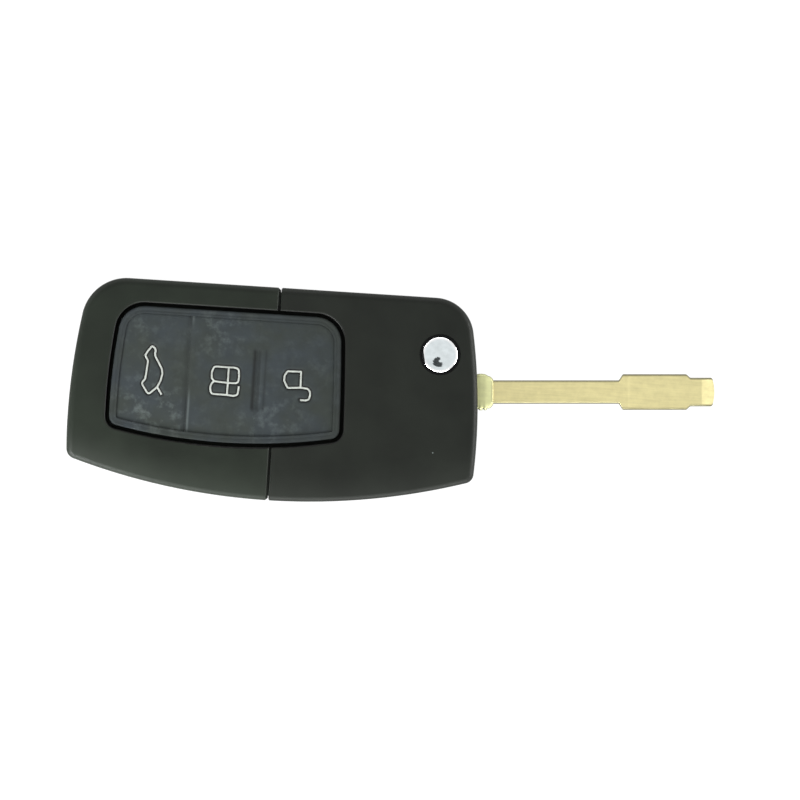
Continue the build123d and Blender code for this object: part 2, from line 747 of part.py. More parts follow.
# Release button: a chromed cap, slightly domed, with a keying flat and a flange under the cover
with BuildPart() as release_button:
    rim_z = body_thickness + button_proud
    with BuildSketch(Plane.XZ):
        with BuildLine():
            Polyline((0, rim_z + button_dome), (0, flange_bottom),
                     (cup_radius - hub_clearance, flange_bottom),
                     (cup_radius - hub_clearance, flange_top), (button_radius, flange_top),
                     (button_radius, rim_z))
            TangentArc((0, rim_z + button_dome), (button_radius, rim_z), tangent=(1, 0))
        make_face()
    revolve(axis=Axis.Z)
    cap_rim = release_button.faces().sort_by(Axis.Z)[-1].edges()
    fillet(cap_rim, button_edge_radius)
    shelf_z = rim_z - button_flat_depth
    with BuildSketch(Plane.XY.offset(shelf_z).rotated((0, 0, button_flat_angle))):
        rectangle_between(button_flat, 2 * button_radius, -button_radius, button_radius)
    extrude(amount=button_travel * 2, mode=Mode.SUBTRACT)
    with BuildSketch(Plane.XY.offset(flange_bottom)):
        Circle(button_radius / 2)
    extrude(amount=button_flange_height, mode=Mode.SUBTRACT)
release_button.part.label = "release_button"
export_step(release_button.part, "parts/release_button.step")

# Coil spring that turns the carrier and lifts the button
with BuildPart() as flip_spring:
    coil_low = cup_bottom + spring_wire / 2 + pin_play
    coil_high = flange_bottom - spring_wire / 2 - pin_play
    with BuildLine() as coil:
        Helix((coil_high - coil_low) / spring_turns, coil_high - coil_low, spring_diameter / 2,
              center=(0, 0, coil_low))
    with BuildSketch(Plane(origin=coil.line @ 0, z_dir=coil.line % 0)):
        Circle(spring_wire / 2)
    sweep(is_frenet=True)
flip_spring.part.label = "flip_spring"
export_step(flip_spring.part, "parts/flip_spring.step")

# Pivot cap: closes the back of the pivot, and its post centres the hub
with BuildPart() as pivot_cap:
    with BuildSketch(Plane.XY.offset(pin_play)):
        Circle(cap_radius)
    extrude(amount=cap_thickness)
    with BuildSketch(Plane.XY.offset(cap_thickness)):
        Circle(cap_post_radius)
    extrude(amount=cup_bottom + button_travel - cap_thickness)
    fillet(pivot_cap.faces().sort_by(Axis.Z)[0].edges(), cap_edge_radius)
    box_between(-cap_slot_length / 2, cap_slot_length / 2, -cap_slot_width / 2,
                cap_slot_width / 2, 0, cap_slot_depth, Mode.SUBTRACT)
pivot_cap.part.label = "pivot_cap"
export_step(pivot_cap.part, "parts/pivot_cap.step")


def head_screw(place):
    """A socket-headed screw driven in from the back."""
    with BuildPart() as screw:
        with BuildSketch(Plane.XY.offset(screw_head_sunk)):
            with Locations(place):
                Circle(screw_head_radius)
        extrude(amount=screw_head_height)
        with BuildSketch(Plane.XY.offset(screw_head_sunk)):
            with Locations(place):
                Circle(screw_radius)
        extrude(amount=screw_head_height + screw_length)
        with BuildSketch(Plane.XY.offset(screw_head_sunk)):
            with Locations(place):
                RegularPolygon(screw_drive / 2, 6)
        extrude(amount=screw_drive_depth, mode=Mode.SUBTRACT)
    return screw.part


# Two screws that close the head from the back
for place, label in zip(screw_places, ("head_screw_nose", "head_screw_middle")):
    screw = head_screw(place)
    screw.label = label
    export_step(screw, f"parts/{label}.step")

# Cell holder: a ring on the floor of the bay, open where the two contacts reach in
holder_outer = cell_radius + close_gap + holder_wall
with BuildPart() as cell_holder:
    with BuildSketch(Plane.XY.offset(wall)):
        with Locations((cell_x, cell_y)):
            Circle(holder_outer)
            Circle(cell_radius + close_gap, mode=Mode.SUBTRACT)
        rectangle_between(cell_x - 2 * cell_radius, cell_x, cell_y - contact_width / 2 - piece_gap,
                          cell_y + contact_width / 2 + piece_gap, Mode.SUBTRACT)
    extrude(amount=holder_height)
    box_between(cell_x, cell_x + 2 * cell_radius, cell_y - contact_width / 2 - piece_gap,
                cell_y + contact_width / 2 + piece_gap, wall, wall + contact_sheet + close_gap,
                Mode.SUBTRACT)
cell_holder.part.label = "cell_holder"
export_step(cell_holder.part, "parts/cell_holder.step")

# Contacts: one springs against the cell's side, the other lies under it
cell_side_x = cell_x - cell_radius - close_gap
side_contact_x = cell_x - holder_outer - side_contact_reach
under_contact_x = cell_x + holder_outer + under_contact_reach
contact_low_y = cell_y - contact_width / 2
contact_high_y = cell_y + contact_width / 2
contact_top = wall + holder_height + contact_rise
with BuildPart() as battery_contact_positive:
    box_between(side_contact_x, cell_side_x, contact_low_y, contact_high_y, wall,
                wall + contact_sheet)
    box_between(cell_side_x - contact_sheet, cell_side_x, contact_low_y, contact_high_y, wall,
                wall + holder_height)
    box_between(side_contact_x, side_contact_x + contact_sheet, contact_low_y, contact_high_y,
                wall, contact_top)
battery_contact_positive.part.label = "battery_contact_positive"
export_step(battery_contact_positive.part, "parts/battery_contact_positive.step")

with BuildPart() as battery_contact_negative:
    box_between(cell_x + cell_radius - contact_under_cell, under_contact_x, contact_low_y,
                contact_high_y, wall, wall + contact_sheet)
    box_between(under_contact_x - contact_sheet, under_contact_x, contact_low_y, contact_high_y,
                wall, contact_top)
battery_contact_negative.part.label = "battery_contact_negative"
export_step(battery_contact_negative.part, "parts/battery_contact_negative.step")

# Transponder holder: an open box that the chip is pushed into
holder_x = transponder_bay_end_x - piece_gap - transponder_width / 2 - holder_side
with BuildPart() as transponder_holder:
    box_between(holder_x - transponder_width / 2 - holder_side,
                holder_x + transponder_width / 2 + holder_side,
                transponder_y - transponder_length / 2 - holder_side,
                transponder_y + transponder_length / 2 + holder_side, wall,
                wall + holder_side + transponder_depth)
    box_between(holder_x - transponder_width / 2, holder_x + transponder_width / 2,
                transponder_y - transponder_length / 2, transponder_y + transponder_length / 2,
                wall + holder_side, body_thickness, Mode.SUBTRACT)
transponder_holder.part.label = "transponder_holder"
export_step(transponder_holder.part, "parts/transponder_holder.step")
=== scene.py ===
"""The looks of a flip key's empty shell, built round its solids and in their frame."""

from math import cos, pi, radians, sin, sqrt, tan

import bmesh
import bpy
import numpy as np
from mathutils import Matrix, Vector, kdtree
from mathutils.geometry import delaunay_2d_cdt


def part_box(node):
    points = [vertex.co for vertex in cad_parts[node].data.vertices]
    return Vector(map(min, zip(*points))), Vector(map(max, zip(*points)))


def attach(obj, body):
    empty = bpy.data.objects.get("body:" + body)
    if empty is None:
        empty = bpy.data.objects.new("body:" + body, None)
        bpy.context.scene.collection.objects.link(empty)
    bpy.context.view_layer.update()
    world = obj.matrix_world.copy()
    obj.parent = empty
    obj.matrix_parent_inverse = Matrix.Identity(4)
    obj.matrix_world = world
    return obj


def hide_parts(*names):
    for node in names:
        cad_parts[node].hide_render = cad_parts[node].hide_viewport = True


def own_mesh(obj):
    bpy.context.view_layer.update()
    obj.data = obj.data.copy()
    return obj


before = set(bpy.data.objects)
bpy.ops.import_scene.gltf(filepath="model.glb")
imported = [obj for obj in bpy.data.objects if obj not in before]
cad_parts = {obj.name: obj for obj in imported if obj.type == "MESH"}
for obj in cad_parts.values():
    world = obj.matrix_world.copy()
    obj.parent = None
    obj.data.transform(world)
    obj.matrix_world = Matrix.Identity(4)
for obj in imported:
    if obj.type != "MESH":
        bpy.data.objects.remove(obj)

bl_info = {
    "name": "Flip Key Shell",
    "version": (1, 0, 0),
    "blender": (4, 5, 0),
    "location": "3D View > Sidebar > Flip Key",
    "description": "Soft keys, printed symbols, blade, button and finishes of a flip key shell",
    "category": "Add Mesh",
}

MM = 0.001
# An outline's point is a corner, and an edge of a mesh is sharp, beyond these angles
CORNER, SHARP_EDGE = radians(28), radians(38)
# How many points are measured at once, to spare memory
BATCH = 2000
# The blade's line: its turn from the key's long axis, and its offset and height in mm. The
# photo's camera is turned by the same angle
BLADE_TURN = radians(3.68)
BLADE_OFFSET = 6.75
BLADE_HEIGHT = 8.0


def linear(hex_colour):
    """An sRGB colour such as '#2F332F' as linear red, green and blue."""
    parts = [int(hex_colour[i : i + 2], 16) / 255 for i in (1, 3, 5)]
    return [c / 12.92 if c <= 0.04045 else ((c + 0.055) / 1.055) ** 2.4 for c in parts]


def rgba(colour):
    return (*colour, 1.0)


def length(name, description, default_mm):
    return bpy.props.FloatProperty(
        name=name, description=description, default=default_mm * MM, unit="LENGTH", precision=5
    )


def colour(name, description, hex_colour):
    return bpy.props.FloatVectorProperty(
        name=name, description=description, default=linear(hex_colour), subtype="COLOR",
        min=0.0, max=1.0,
    )


class FlipKeySizes(bpy.types.PropertyGroup):
    """Sizes of the soft keys, their printed symbols and the button's turned rings."""

    key_crown: length("Key crown", "How much higher a key's middle stands than its edge", 0.06)
    ink_width: length("Ink width", "Width of a printed symbol's line", 0.32)
    ink_height: length("Ink height", "Thickness of the printed line", 0.07)
    groove_width: length("Groove width", "Width of the sunk bed under a printed line", 1.15)
    groove_depth: length("Groove depth", "Depth of the sunk bed under a printed line", 0.1)
    valley_depth: length("Valley depth", "Depth of the soft valley beside the boot key", 0.09)
    trough_depth: length("Trough depth", "Depth of the short trough between two keys", 0.09)
    ring_step: length("Turned rings", "Distance between the button's turned rings", 0.42)


class FlipKeyColours(bpy.types.PropertyGroup):
    """Base colours of the finishes."""

    case: colour("Case", "Moulded black plastic", "#1A1F19")
    case_head: colour("Head", "The head's moulding, from a browner batch", "#171A16")
    rubber: colour("Keys", "Dark grey rubber", "#292E2B")
    rubber_blue: colour("Keys, blue", "Bluer patches of the rubber", "#2A3033")
    # The dust's colour is also painted on some key edges as a highlight
    dust: colour("Dust", "Pale handling marks on rubber", "#7C8684")
    # Painted shade for the lip of the keys' opening
    lip_shade: colour("Grime", "Dark grime in the lip round the keys", "#060706")
    ink: colour("Ink", "Pale grey printing", "#A3A8A2")
    chrome: colour("Chrome", "Plated button", "#E9F1F3")
    # A painted highlight for the button's rounded edge
    chrome_highlight: colour("Chrome edge", "The button's bright rounded edge", "#FDFEFF")
    brass: colour("Blade", "Pale nickel brass", "#E4DAA3")
    cast_brass: colour("Collar", "The cast collar, a little greener", "#DEE0A9")
    # Painted shade along the blade's sides and on the collar's fall
    painted_blade_shade: colour("Blade sides", "The unmilled skin on the blade's sides", "#5E5D4A")


class FlipKeyStudio(bpy.types.PropertyGroup):
    """The camera and the light round the key."""

    turn: bpy.props.FloatProperty(name="Camera turn", default=BLADE_TURN, subtype="ANGLE",
                                  description="Turn of the camera about the view axis")
    aim_x: length("Aim X", "Where the camera looks, along the key", -6.71)
    aim_y: length("Aim Y", "Where the camera looks, across the key", -8.65)
    frame_width: length("Frame width", "Width of the picture at the key's face", 145.45)
    lens_mm: bpy.props.FloatProperty(name="Lens", description="Focal length in mm", default=250.0)
    sky: bpy.props.FloatProperty(name="Sky", default=0.88,
                                 description="Strength of the even light from all round")
    low_light: bpy.props.FloatProperty(name="Low light", default=1.0,
                                       description="Brightness of the soft boxes beside the key")


def socket_of(source):
    """A socket as it is, or the first output that a node has in use."""
    if isinstance(source, bpy.types.NodeSocket):
        return source
    return next(output for output in source.outputs if output.enabled)


def add_node(tree, kind, settings=None, links=None):
    """One node with its properties and socket values set, and other nodes or sockets linked."""
    node = tree.nodes.new(kind)
    for name, value in (settings or {}).items():
        if isinstance(name, str) and hasattr(node, name):
            setattr(node, name, value)
        else:
            node.inputs[name].default_value = value
    for name, source in (links or {}).items():
        tree.links.new(socket_of(source), node.inputs[name])
    return node


def empty_tree(owner):
    """The node tree of a material or world, with nothing in it."""
    owner.use_nodes = True
    owner.node_tree.nodes.clear()
    return owner.node_tree


def new_material(name, **surface):
    """A material with a shader whose sockets are set, ready for its patterns."""
    material = bpy.data.materials.new(name)
    tree = empty_tree(material)
    shader = add_node(tree, "ShaderNodeBsdfPrincipled",
                      {socket.replace("_", " "): value for socket, value in surface.items()})
    add_node(tree, "ShaderNodeOutputMaterial", links={"Surface": shader})
    return material, tree, shader, add_node(tree, "ShaderNodeTexCoord").outputs["Object"]


def per(millimetres):
    """The texture scale at which one feature spans this many millimetres."""
    return 1 / (millimetres * MM)


def clouded(tree, tone, pattern, seen, shades):
    """A tone that a pattern darkens and lightens: its values in the seen range give the shades."""
    shade = add_node(tree, "ShaderNodeMapRange", {
        "From Min": seen[0], "From Max": seen[1], "To Min": shades[0], "To Max": shades[1]},
        {"Value": pattern})
    fixed, linked = ({}, {0: tone}) if isinstance(tone, bpy.types.Node) else ({0: tone}, {})
    return add_node(tree, "ShaderNodeVectorMath", {"operation": "SCALE", **fixed},
                    {"Scale": shade, **linked})


def coat(tree, shader, tone, grain, rough, relief=None, strength=0.0, depth_mm=0.0):
    """Gives a shader its tone, a roughness that a grain breaks up, and a fine relief."""
    tree.links.new(socket_of(tone), shader.inputs["Base Color"])
    gloss = add_node(tree, "ShaderNodeMapRange", {"To Min": rough[0], "To Max": rough[1]},
                     {"Value": grain})
    tree.links.new(gloss.outputs[0], shader.inputs["Roughness"])
    if relief:
        bump = add_node(tree, "ShaderNodeBump", {"Strength": strength, "Distance": depth_mm * MM},
                        {"Height": relief})
        tree.links.new(bump.outputs["Normal"], shader.inputs["Normal"])


# Painted shade in the lip of the keys' opening, in mm: the levels at which it starts and is full
# and below which there is none, the opening's upper side, middle and half width, and the centre
# and radius of the arc along its lower side
LIP_UNSHADED, LIP_FULLY_SHADED, ABOVE_DECK = 15.999, 15.87, 12.0
OPENING_TOP, OPENING_MIDDLE, OPENING_HALF = 7.0, -38.25, 22.75
ARC_CENTRE, ARC_RADIUS = (-38.18, 82.08), 101.42


def painted_shade_in_lip(tree, where):
    """How much painted shade darkens the rounded lip of the keys' opening: it starts just under the
    face, and the opening is a rectangle whose lower side is a wide arc."""
    place = add_node(tree, "ShaderNodeSeparateXYZ", links={"Vector": where})
    amount = add_node(tree, "ShaderNodeMapRange",
                      {"From Min": LIP_UNSHADED * MM, "From Max": LIP_FULLY_SHADED * MM},
                      {"Value": place.outputs["Z"]})
    flat = add_node(tree, "ShaderNodeVectorMath", {"operation": "MULTIPLY", 1: (1, 1, 0)},
                    {0: where})
    off_centre = add_node(tree, "ShaderNodeVectorMath", {
        "operation": "DISTANCE", 1: (ARC_CENTRE[0] * MM, ARC_CENTRE[1] * MM, 0)}, {0: flat})
    for value, test, limit in ((off_centre, "LESS_THAN", ARC_RADIUS),
                               (place.outputs["Z"], "GREATER_THAN", ABOVE_DECK),
                               (place.outputs["X"], "COMPARE", OPENING_MIDDLE),
                               (place.outputs["Y"], "LESS_THAN", OPENING_TOP)):
        # Only the comparison reads the third value
        held = add_node(tree, "ShaderNodeMath",
                        {"operation": test, 1: limit * MM, 2: OPENING_HALF * MM}, {0: value})
        amount = add_node(tree, "ShaderNodeMath", {"operation": "MULTIPLY"}, {0: amount, 1: held})
    return amount


def moulded_abs(name, tone, colours):
    """ABS moulded in a spark-eroded tool: dull black, a fine even grain that breaks up the
    light, a slow drift in tone where the melt cooled, a few specks of dust, and painted shade on
    the lip of the keys' opening."""
    material, tree, shader, where = new_material(name, Specular_IOR_Level=0.15)
    drift = add_node(tree, "ShaderNodeTexNoise", {"Scale": per(9), "Detail": 3.0},
                     {"Vector": where})
    shaded = clouded(tree, tone, drift, (0.3, 0.7), (0.78, 1.2))
    speck = add_node(tree, "ShaderNodeTexVoronoi", {"Scale": per(7)}, {"Vector": where})
    lot = add_node(tree, "ShaderNodeSeparateColor", links={"Color": speck.outputs["Color"]})
    few = add_node(tree, "ShaderNodeMath", {"operation": "GREATER_THAN", 1: 0.72},
                   {0: lot.outputs["Red"]})
    dot = add_node(tree, "ShaderNodeMapRange",
                   {"From Min": 0.012, "From Max": 0.024, "To Min": 0.5, "To Max": 0.0},
                   {"Value": speck.outputs["Distance"]})
    dust = add_node(tree, "ShaderNodeMath", {"operation": "MULTIPLY"}, {0: dot, 1: few})
    dusty = add_node(tree, "ShaderNodeMix", {"data_type": "RGBA", 7: rgba(colours.dust)},
                     {0: dust, 6: shaded})
    # Painted shade darkens the lip of the keys' opening
    shaded_lip = add_node(tree, "ShaderNodeMix", {"data_type": "RGBA", 7: rgba(colours.lip_shade)},
                     {0: painted_shade_in_lip(tree, where), 6: dusty})
    # The real grain is about 0.1 mm, too fine to show, so it is drawn at 0.3 mm
    grain = add_node(tree, "ShaderNodeTexNoise",
                     {"Scale": per(0.3), "Detail": 2.0, "Roughness": 0.6}, {"Vector": where})
    coat(tree, shader, shaded_lip, grain, (0.4, 0.56), grain, 0.35, 0.015)
    return material


def keypad_rubber(colours):
    """Silicone rubber, dull and a little blue, that picks up skin grease and dust: blotches a few
    millimetres across, pale smears, painted shade in the hollows and in the bed round each
    symbol, and a painted highlight on some key edges."""
    material, tree, shader, where = new_material("keypad_rubber", Specular_IOR_Level=0.2)
    handled, painted_shade_and_tone, painted_highlight = (
        add_node(tree, "ShaderNodeAttribute", {"attribute_name": name}).outputs["Fac"]
        for name in ("handled", "painted_shade_and_tone", "painted_highlight"))
    # Patches, blotches and smears, and the moulded skin, which is finer than a pixel and is
    # drawn at 0.25 mm
    patch, blotch, smear, skin_grain = (
        add_node(tree, "ShaderNodeTexNoise",
                 {"Scale": per(size), "Detail": detail, "Roughness": share}, {"Vector": where})
        for size, detail, share in ((7, 3.0, 0.55), (2.2, 4.0, 0.6), (1.8, 6.0, 0.66),
                                    (0.25, 2.0, 0.5)))
    patch_edge = add_node(tree, "ShaderNodeMapRange", {"From Min": 0.38, "From Max": 0.66},
                          {"Value": patch})
    tone = add_node(tree, "ShaderNodeMix", {
        "data_type": "RGBA", 6: rgba(colours.rubber), 7: rgba(colours.rubber_blue)},
        {0: patch_edge})
    mottled = clouded(tree, tone, blotch, (0.3, 0.7), (0.9, 1.1))
    smear_edge = add_node(tree, "ShaderNodeMapRange",
                          {"From Min": 0.5, "From Max": 0.8, "To Max": 0.46}, {"Value": smear})
    smeared = add_node(tree, "ShaderNodeMath", {"operation": "MULTIPLY"},
                       {0: smear_edge, 1: handled})
    # Pale dust smears, then painted shade in the hollows, then a painted highlight in the dust's
    # colour on key edges
    surface = mottled
    for colour_there, amount in ((colours.dust, smeared),
                                 ([c * 0.1 for c in colours.rubber], painted_shade_and_tone),
                                 (colours.dust, painted_highlight)):
        surface = add_node(tree, "ShaderNodeMix", {"data_type": "RGBA", 7: rgba(colour_there)},
                           {0: amount, 6: surface})
    coat(tree, shader, surface, blotch, (0.5, 0.68), skin_grain, 0.25, 0.012)
    return material


def printed_ink(colours):
    """Pad-printing ink: flat pale grey, thin at places so that its tone breaks a little."""
    material, tree, shader, where = new_material("printed_ink", Roughness=0.55)
    thin = add_node(tree, "ShaderNodeTexNoise", {"Scale": per(0.8), "Detail": 3.0},
                    {"Vector": where})
    tone = clouded(tree, colours.ink, thin, (0.3, 0.7), (0.72, 1.05))
    tree.links.new(tone.outputs[0], shader.inputs["Base Color"])
    return material


def chrome_plate(colours):
    """Chrome over moulded plastic: a clear mirror, with the faint rings of the turned tool and a
    painted highlight on its rounded edge.
    """
    material, tree, shader, where = new_material("chrome_plate", Metallic=1.0)
    cloud = add_node(tree, "ShaderNodeTexNoise", {"Scale": per(1.1), "Detail": 4.0},
                     {"Vector": where})
    tone = clouded(tree, colours.chrome, cloud, (0.3, 0.7), (0.88, 1.05))
    # The rounded edge is painted brighter than the dome, a painted highlight
    painted_edge_highlight = add_node(tree, "ShaderNodeAttribute", {"attribute_name": "painted_edge_highlight"})
    highlighted = add_node(tree, "ShaderNodeMix", {"data_type": "RGBA", 7: rgba(colours.chrome_highlight)},
                     {0: painted_edge_highlight.outputs["Fac"], 6: tone})
    coat(tree, shader, highlighted, cloud, (0.03, 0.07))
    return material


def milled_brass(colours):
    """Pale nickel brass, milled lengthways and never polished: a soft metal glow with fine
    streaks along the blade, small darker flecks, and painted shade along its sides."""
    material, tree, shader, where = new_material("milled_brass", Metallic=1.0)
    along = add_node(tree, "ShaderNodeMapping",
                     {"Rotation": (0, 0, -BLADE_TURN), "Scale": (0.06, 1.0, 1.0)},
                     {"Vector": where})
    # Mill marks of 0.15 mm are drawn at 0.35 mm, so that they show
    streak = add_node(tree, "ShaderNodeTexNoise",
                      {"Scale": per(0.35), "Detail": 3.0, "Roughness": 0.6}, {"Vector": along})
    fleck = add_node(tree, "ShaderNodeTexNoise",
                     {"Scale": per(1.6), "Detail": 4.0, "Roughness": 0.65}, {"Vector": where})
    # The collar was cast. The blade's and the collar's sides, where they turn away, and the
    # collar's fall to the rod are painted darker, a painted shade
    tone = None
    for name, colour_there in (("cast", colours.cast_brass), ("painted_blade_shade", colours.painted_blade_shade)):
        amount = add_node(tree, "ShaderNodeAttribute", {"attribute_name": name})
        under = {6: tone} if tone else {}
        tone = add_node(tree, "ShaderNodeMix", {
            "data_type": "RGBA", 6: rgba(colours.brass), 7: rgba(colour_there)},
            {0: amount.outputs["Fac"], **under})
    streaky = clouded(tree, tone, streak, (0.3, 0.72), (0.94, 1.05))
    flecked = clouded(tree, streaky, fleck, (0.35, 0.7), (1.03, 0.92))
    coat(tree, shader, flecked, streak, (0.34, 0.5), streak, 0.3, 0.01)
    return material


def plain_metal(name, hex_colour, rough, grain_mm, depth_mm):
    """A metal whose tone and gloss vary over one grain size: cast, drawn or plated."""
    material, tree, shader, where = new_material(name, Metallic=1.0)
    grain = add_node(tree, "ShaderNodeTexNoise", {"Scale": per(grain_mm), "Detail": 3.0},
                     {"Vector": where})
    tone = clouded(tree, linear(hex_colour), grain, (0.3, 0.7), (0.85, 1.05))
    coat(tree, shader, tone, grain, rough, grain, 0.3, depth_mm)
    return material


def moulded_nylon():
    """Black nylon of the inner holders: a little shinier than the case, with flow marks."""
    material, tree, shader, where = new_material("moulded_nylon", Specular_IOR_Level=0.4)
    flow = add_node(tree, "ShaderNodeTexNoise",
                    {"Scale": per(3), "Detail": 2.0, "Distortion": 0.6}, {"Vector": where})
    tone = clouded(tree, linear("#1E1F20"), flow, (0.0, 1.0), (0.8, 1.2))
    coat(tree, shader, tone, flow, (0.38, 0.5))
    return material


def section_loops(node, height_mm):
    """The closed outlines where a CAD node is cut at one height, longest first, in mm."""
    mesh = bmesh.new()
    mesh.from_mesh(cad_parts[node].data)
    bmesh.ops.remove_doubles(mesh, verts=mesh.verts, dist=1e-7)
    cut = bmesh.ops.bisect_plane(mesh, geom=mesh.verts[:] + mesh.edges[:] + mesh.faces[:],
                                 dist=1e-9, plane_co=(0, 0, height_mm * MM), plane_no=(0, 0, 1))
    beside = {}
    for edge in cut["geom_cut"]:
        if isinstance(edge, bmesh.types.BMEdge):
            a, b = edge.verts
            beside.setdefault(a, []).append(b)
            beside.setdefault(b, []).append(a)
    loops = []
    while beside:
        at = next(iter(beside))
        loop = []
        while at is not None:
            loop.append((at.co.x / MM, at.co.y / MM))
            following = [v for v in beside.pop(at) if v in beside]
            at = following[0] if following else None
        loops.append(np.array(loop))
    mesh.free()
    return sorted(loops, key=lambda l: -np.linalg.norm(l - np.roll(l, -1, 0), axis=1).sum())


def evenly(line, step):
    """An open line with its points about one step apart."""
    along = np.concatenate([[0], np.cumsum(np.linalg.norm(np.diff(line, axis=0), axis=1))])
    at = np.linspace(0, along[-1], max(2, round(along[-1] / step) + 1))
    return np.stack([np.interp(at, along, line[:, k]) for k in (0, 1)], 1)


def across(ahead):
    """The unit vectors a quarter turn to the left of the given ones."""
    size = np.maximum(np.linalg.norm(ahead, axis=1), 1e-9)
    return np.stack([-ahead[:, 1], ahead[:, 0]], 1) / size[:, None]


def even_loop(loop, step):
    """A closed outline with points about one step apart, its sharp corners kept."""
    ahead = np.roll(loop, -1, 0) - loop
    loop = loop[np.linalg.norm(ahead, axis=1) > 1e-4]
    ahead = np.roll(loop, -1, 0) - loop
    turn = np.arctan2(ahead[:, 1], ahead[:, 0])
    bend = np.abs((turn - np.roll(turn, 1) + pi) % (2 * pi) - pi)
    corners = np.flatnonzero(bend > CORNER)
    if len(corners) == 0:
        corners = np.array([0])
    made = []
    for start, end in zip(corners, np.roll(corners, -1)):
        count = (end - start) % len(loop) or len(loop)
        span = loop[(start + np.arange(count + 1)) % len(loop)]
        made.append(evenly(span, step)[:-1])
    return np.concatenate(made)


def distance_to(points, lines):
    """Each point's distance to the nearest of the lines, which are pairs of end points."""
    a, b = lines[:, 0], lines[:, 1]
    ab = b - a
    size = np.maximum((ab**2).sum(1), 1e-12)
    best = np.full(len(points), np.inf)
    for first in range(0, len(points), BATCH):
        p = points[first : first + BATCH, None]
        t = np.clip(((p - a) * ab).sum(2) / size, 0, 1)
        best[first : first + BATCH] = np.linalg.norm(p - a - t[..., None] * ab, axis=2).min(1)
    return best


def grown(loop, amount):
    """An outline moved outwards by an amount, which may differ from point to point."""
    left = across(np.roll(loop, -1, 0) - np.roll(loop, 1, 0))
    x, y = loop.T
    area = (x * np.roll(y, -1) - np.roll(x, -1) * y).sum()
    return loop - np.sign(area) * np.reshape(amount, (-1, 1)) * left


def loop_lines(loops):
    return np.concatenate([np.stack([l, np.roll(l, -1, 0)], 1) for l in loops])


def inside(points, loops):
    """Whether each point lies inside the outlines, by how many edges lie to its right."""
    x1, y1, x2, y2 = loop_lines(loops).reshape(-1, 4).T
    rise = np.where(y2 == y1, 1e-12, y2 - y1)
    within = np.zeros(len(points), bool)
    for first in range(0, len(points), BATCH):
        x, y = points[first : first + BATCH].T[..., None]
        crosses = (y1 > y) != (y2 > y)
        at = x1 + (y - y1) * (x2 - x1) / rise
        within[first : first + BATCH] = ((crosses & (at > x)).sum(1) % 2) == 1
    return within


def skin(loops, rings, extra, grid):
    """Triangles that fill the outlines: points on rings inside each edge, extra ones, a grid.

    A point is left out where it comes too near to an edge or to a ring."""
    lines = loop_lines(loops)
    kept = []
    for depth in rings:
        for loop in loops:
            left = across(np.roll(loop, -1, 0) - np.roll(loop, 1, 0))
            for side in (1, -1):
                ring = loop + side * depth * left
                ring = ring[inside(ring, loops)]
                if len(ring):
                    kept.append(ring[distance_to(ring, lines) > 0.93 * depth])
    if len(extra):
        near = extra[inside(extra, loops)]
        kept.append(near[distance_to(near, lines) > max(rings) * 1.1])
    special = np.concatenate(kept)
    low, high = lines.reshape(-1, 2).min(0), lines.reshape(-1, 2).max(0)
    rows = []
    for row, y in enumerate(np.arange(low[1], high[1], grid * sqrt(3) / 2)):
        x = np.arange(low[0] + (row % 2) * grid / 2, high[0], grid)
        rows.append(np.stack([x, np.full(len(x), y)], 1))
    lattice = np.concatenate(rows)
    lattice = lattice[inside(lattice, loops)]
    lattice = lattice[distance_to(lattice, lines) > max(rings) + grid * 0.3]
    tree = kdtree.KDTree(len(special))
    for i, p in enumerate(special):
        tree.insert((*p, 0), i)
    tree.balance()
    lattice = np.array([p for p in lattice if tree.find((*p, 0))[2] > grid * 0.45]).reshape(-1, 2)
    corners, edges = [], []
    for loop in loops:
        start = len(corners)
        corners += [Vector(p) for p in loop]
        edges += [(start + i, start + (i + 1) % len(loop)) for i in range(len(loop))]
    corners += [Vector(p) for p in np.concatenate([special, lattice])]
    points, _, faces, *_ = delaunay_2d_cdt(corners, edges, [], 0, 1e-4)
    points = np.array([(p.x, p.y) for p in points])
    middles = np.array([points[list(f)].mean(0) for f in faces])
    within = inside(middles, loops)
    return points, [list(f) for f, keep in zip(faces, within) if keep]


def new_object(name, data):
    """A new object, put into the scene."""
    made = bpy.data.objects.new(name, data)
    bpy.context.scene.collection.objects.link(made)
    return made


def mesh_object(name, mesh, materials):
    """A new object at the origin from a bmesh, smooth except across sharp edges."""
    data = bpy.data.meshes.new(name)
    for face in mesh.faces:
        face.smooth = True
    for edge in mesh.edges:
        if len(edge.link_faces) == 2 and edge.calc_face_angle(0) > SHARP_EDGE:
            edge.smooth = False
    mesh.to_mesh(data)
    mesh.free()
    for material in materials:
        data.materials.append(material)
    return new_object(name, data)


def add_plate(mesh, points, faces, heights, bottom, layers):
    """Adds a closed plate: a skin with its own heights, walls round the outlines and a flat back.

    layers maps a point attribute's name to its value at each point of the skin."""
    stores = {n: mesh.verts.layers.float.get(n) or mesh.verts.layers.float.new(n) for n in layers}
    top = []
    for i, (p, z) in enumerate(zip(points, heights)):
        vert = mesh.verts.new((p[0] * MM, p[1] * MM, z * MM))
        for name, values in layers.items():
            vert[stores[name]] = float(values[i])
        top.append(vert)
    for face in faces:
        mesh.faces.new([top[i] for i in face])
    loose = [v for v in top if not v.link_faces]
    rim_edges = [e for e in {e for v in top for e in v.link_edges} if len(e.link_faces) == 1]
    walls = bmesh.ops.extrude_edge_only(mesh, edges=rim_edges)["geom"]
    for vert in (v for v in walls if isinstance(v, bmesh.types.BMVert)):
        vert.co.z = bottom * MM
    low_edges = [e for e in walls if isinstance(e, bmesh.types.BMEdge) and len(e.link_faces) == 1]
    bmesh.ops.triangle_fill(mesh, use_beauty=True, use_dissolve=False, edges=low_edges)
    bmesh.ops.delete(mesh, geom=loose, context="VERTS")
    bmesh.ops.recalc_face_normals(mesh, faces=mesh.faces)


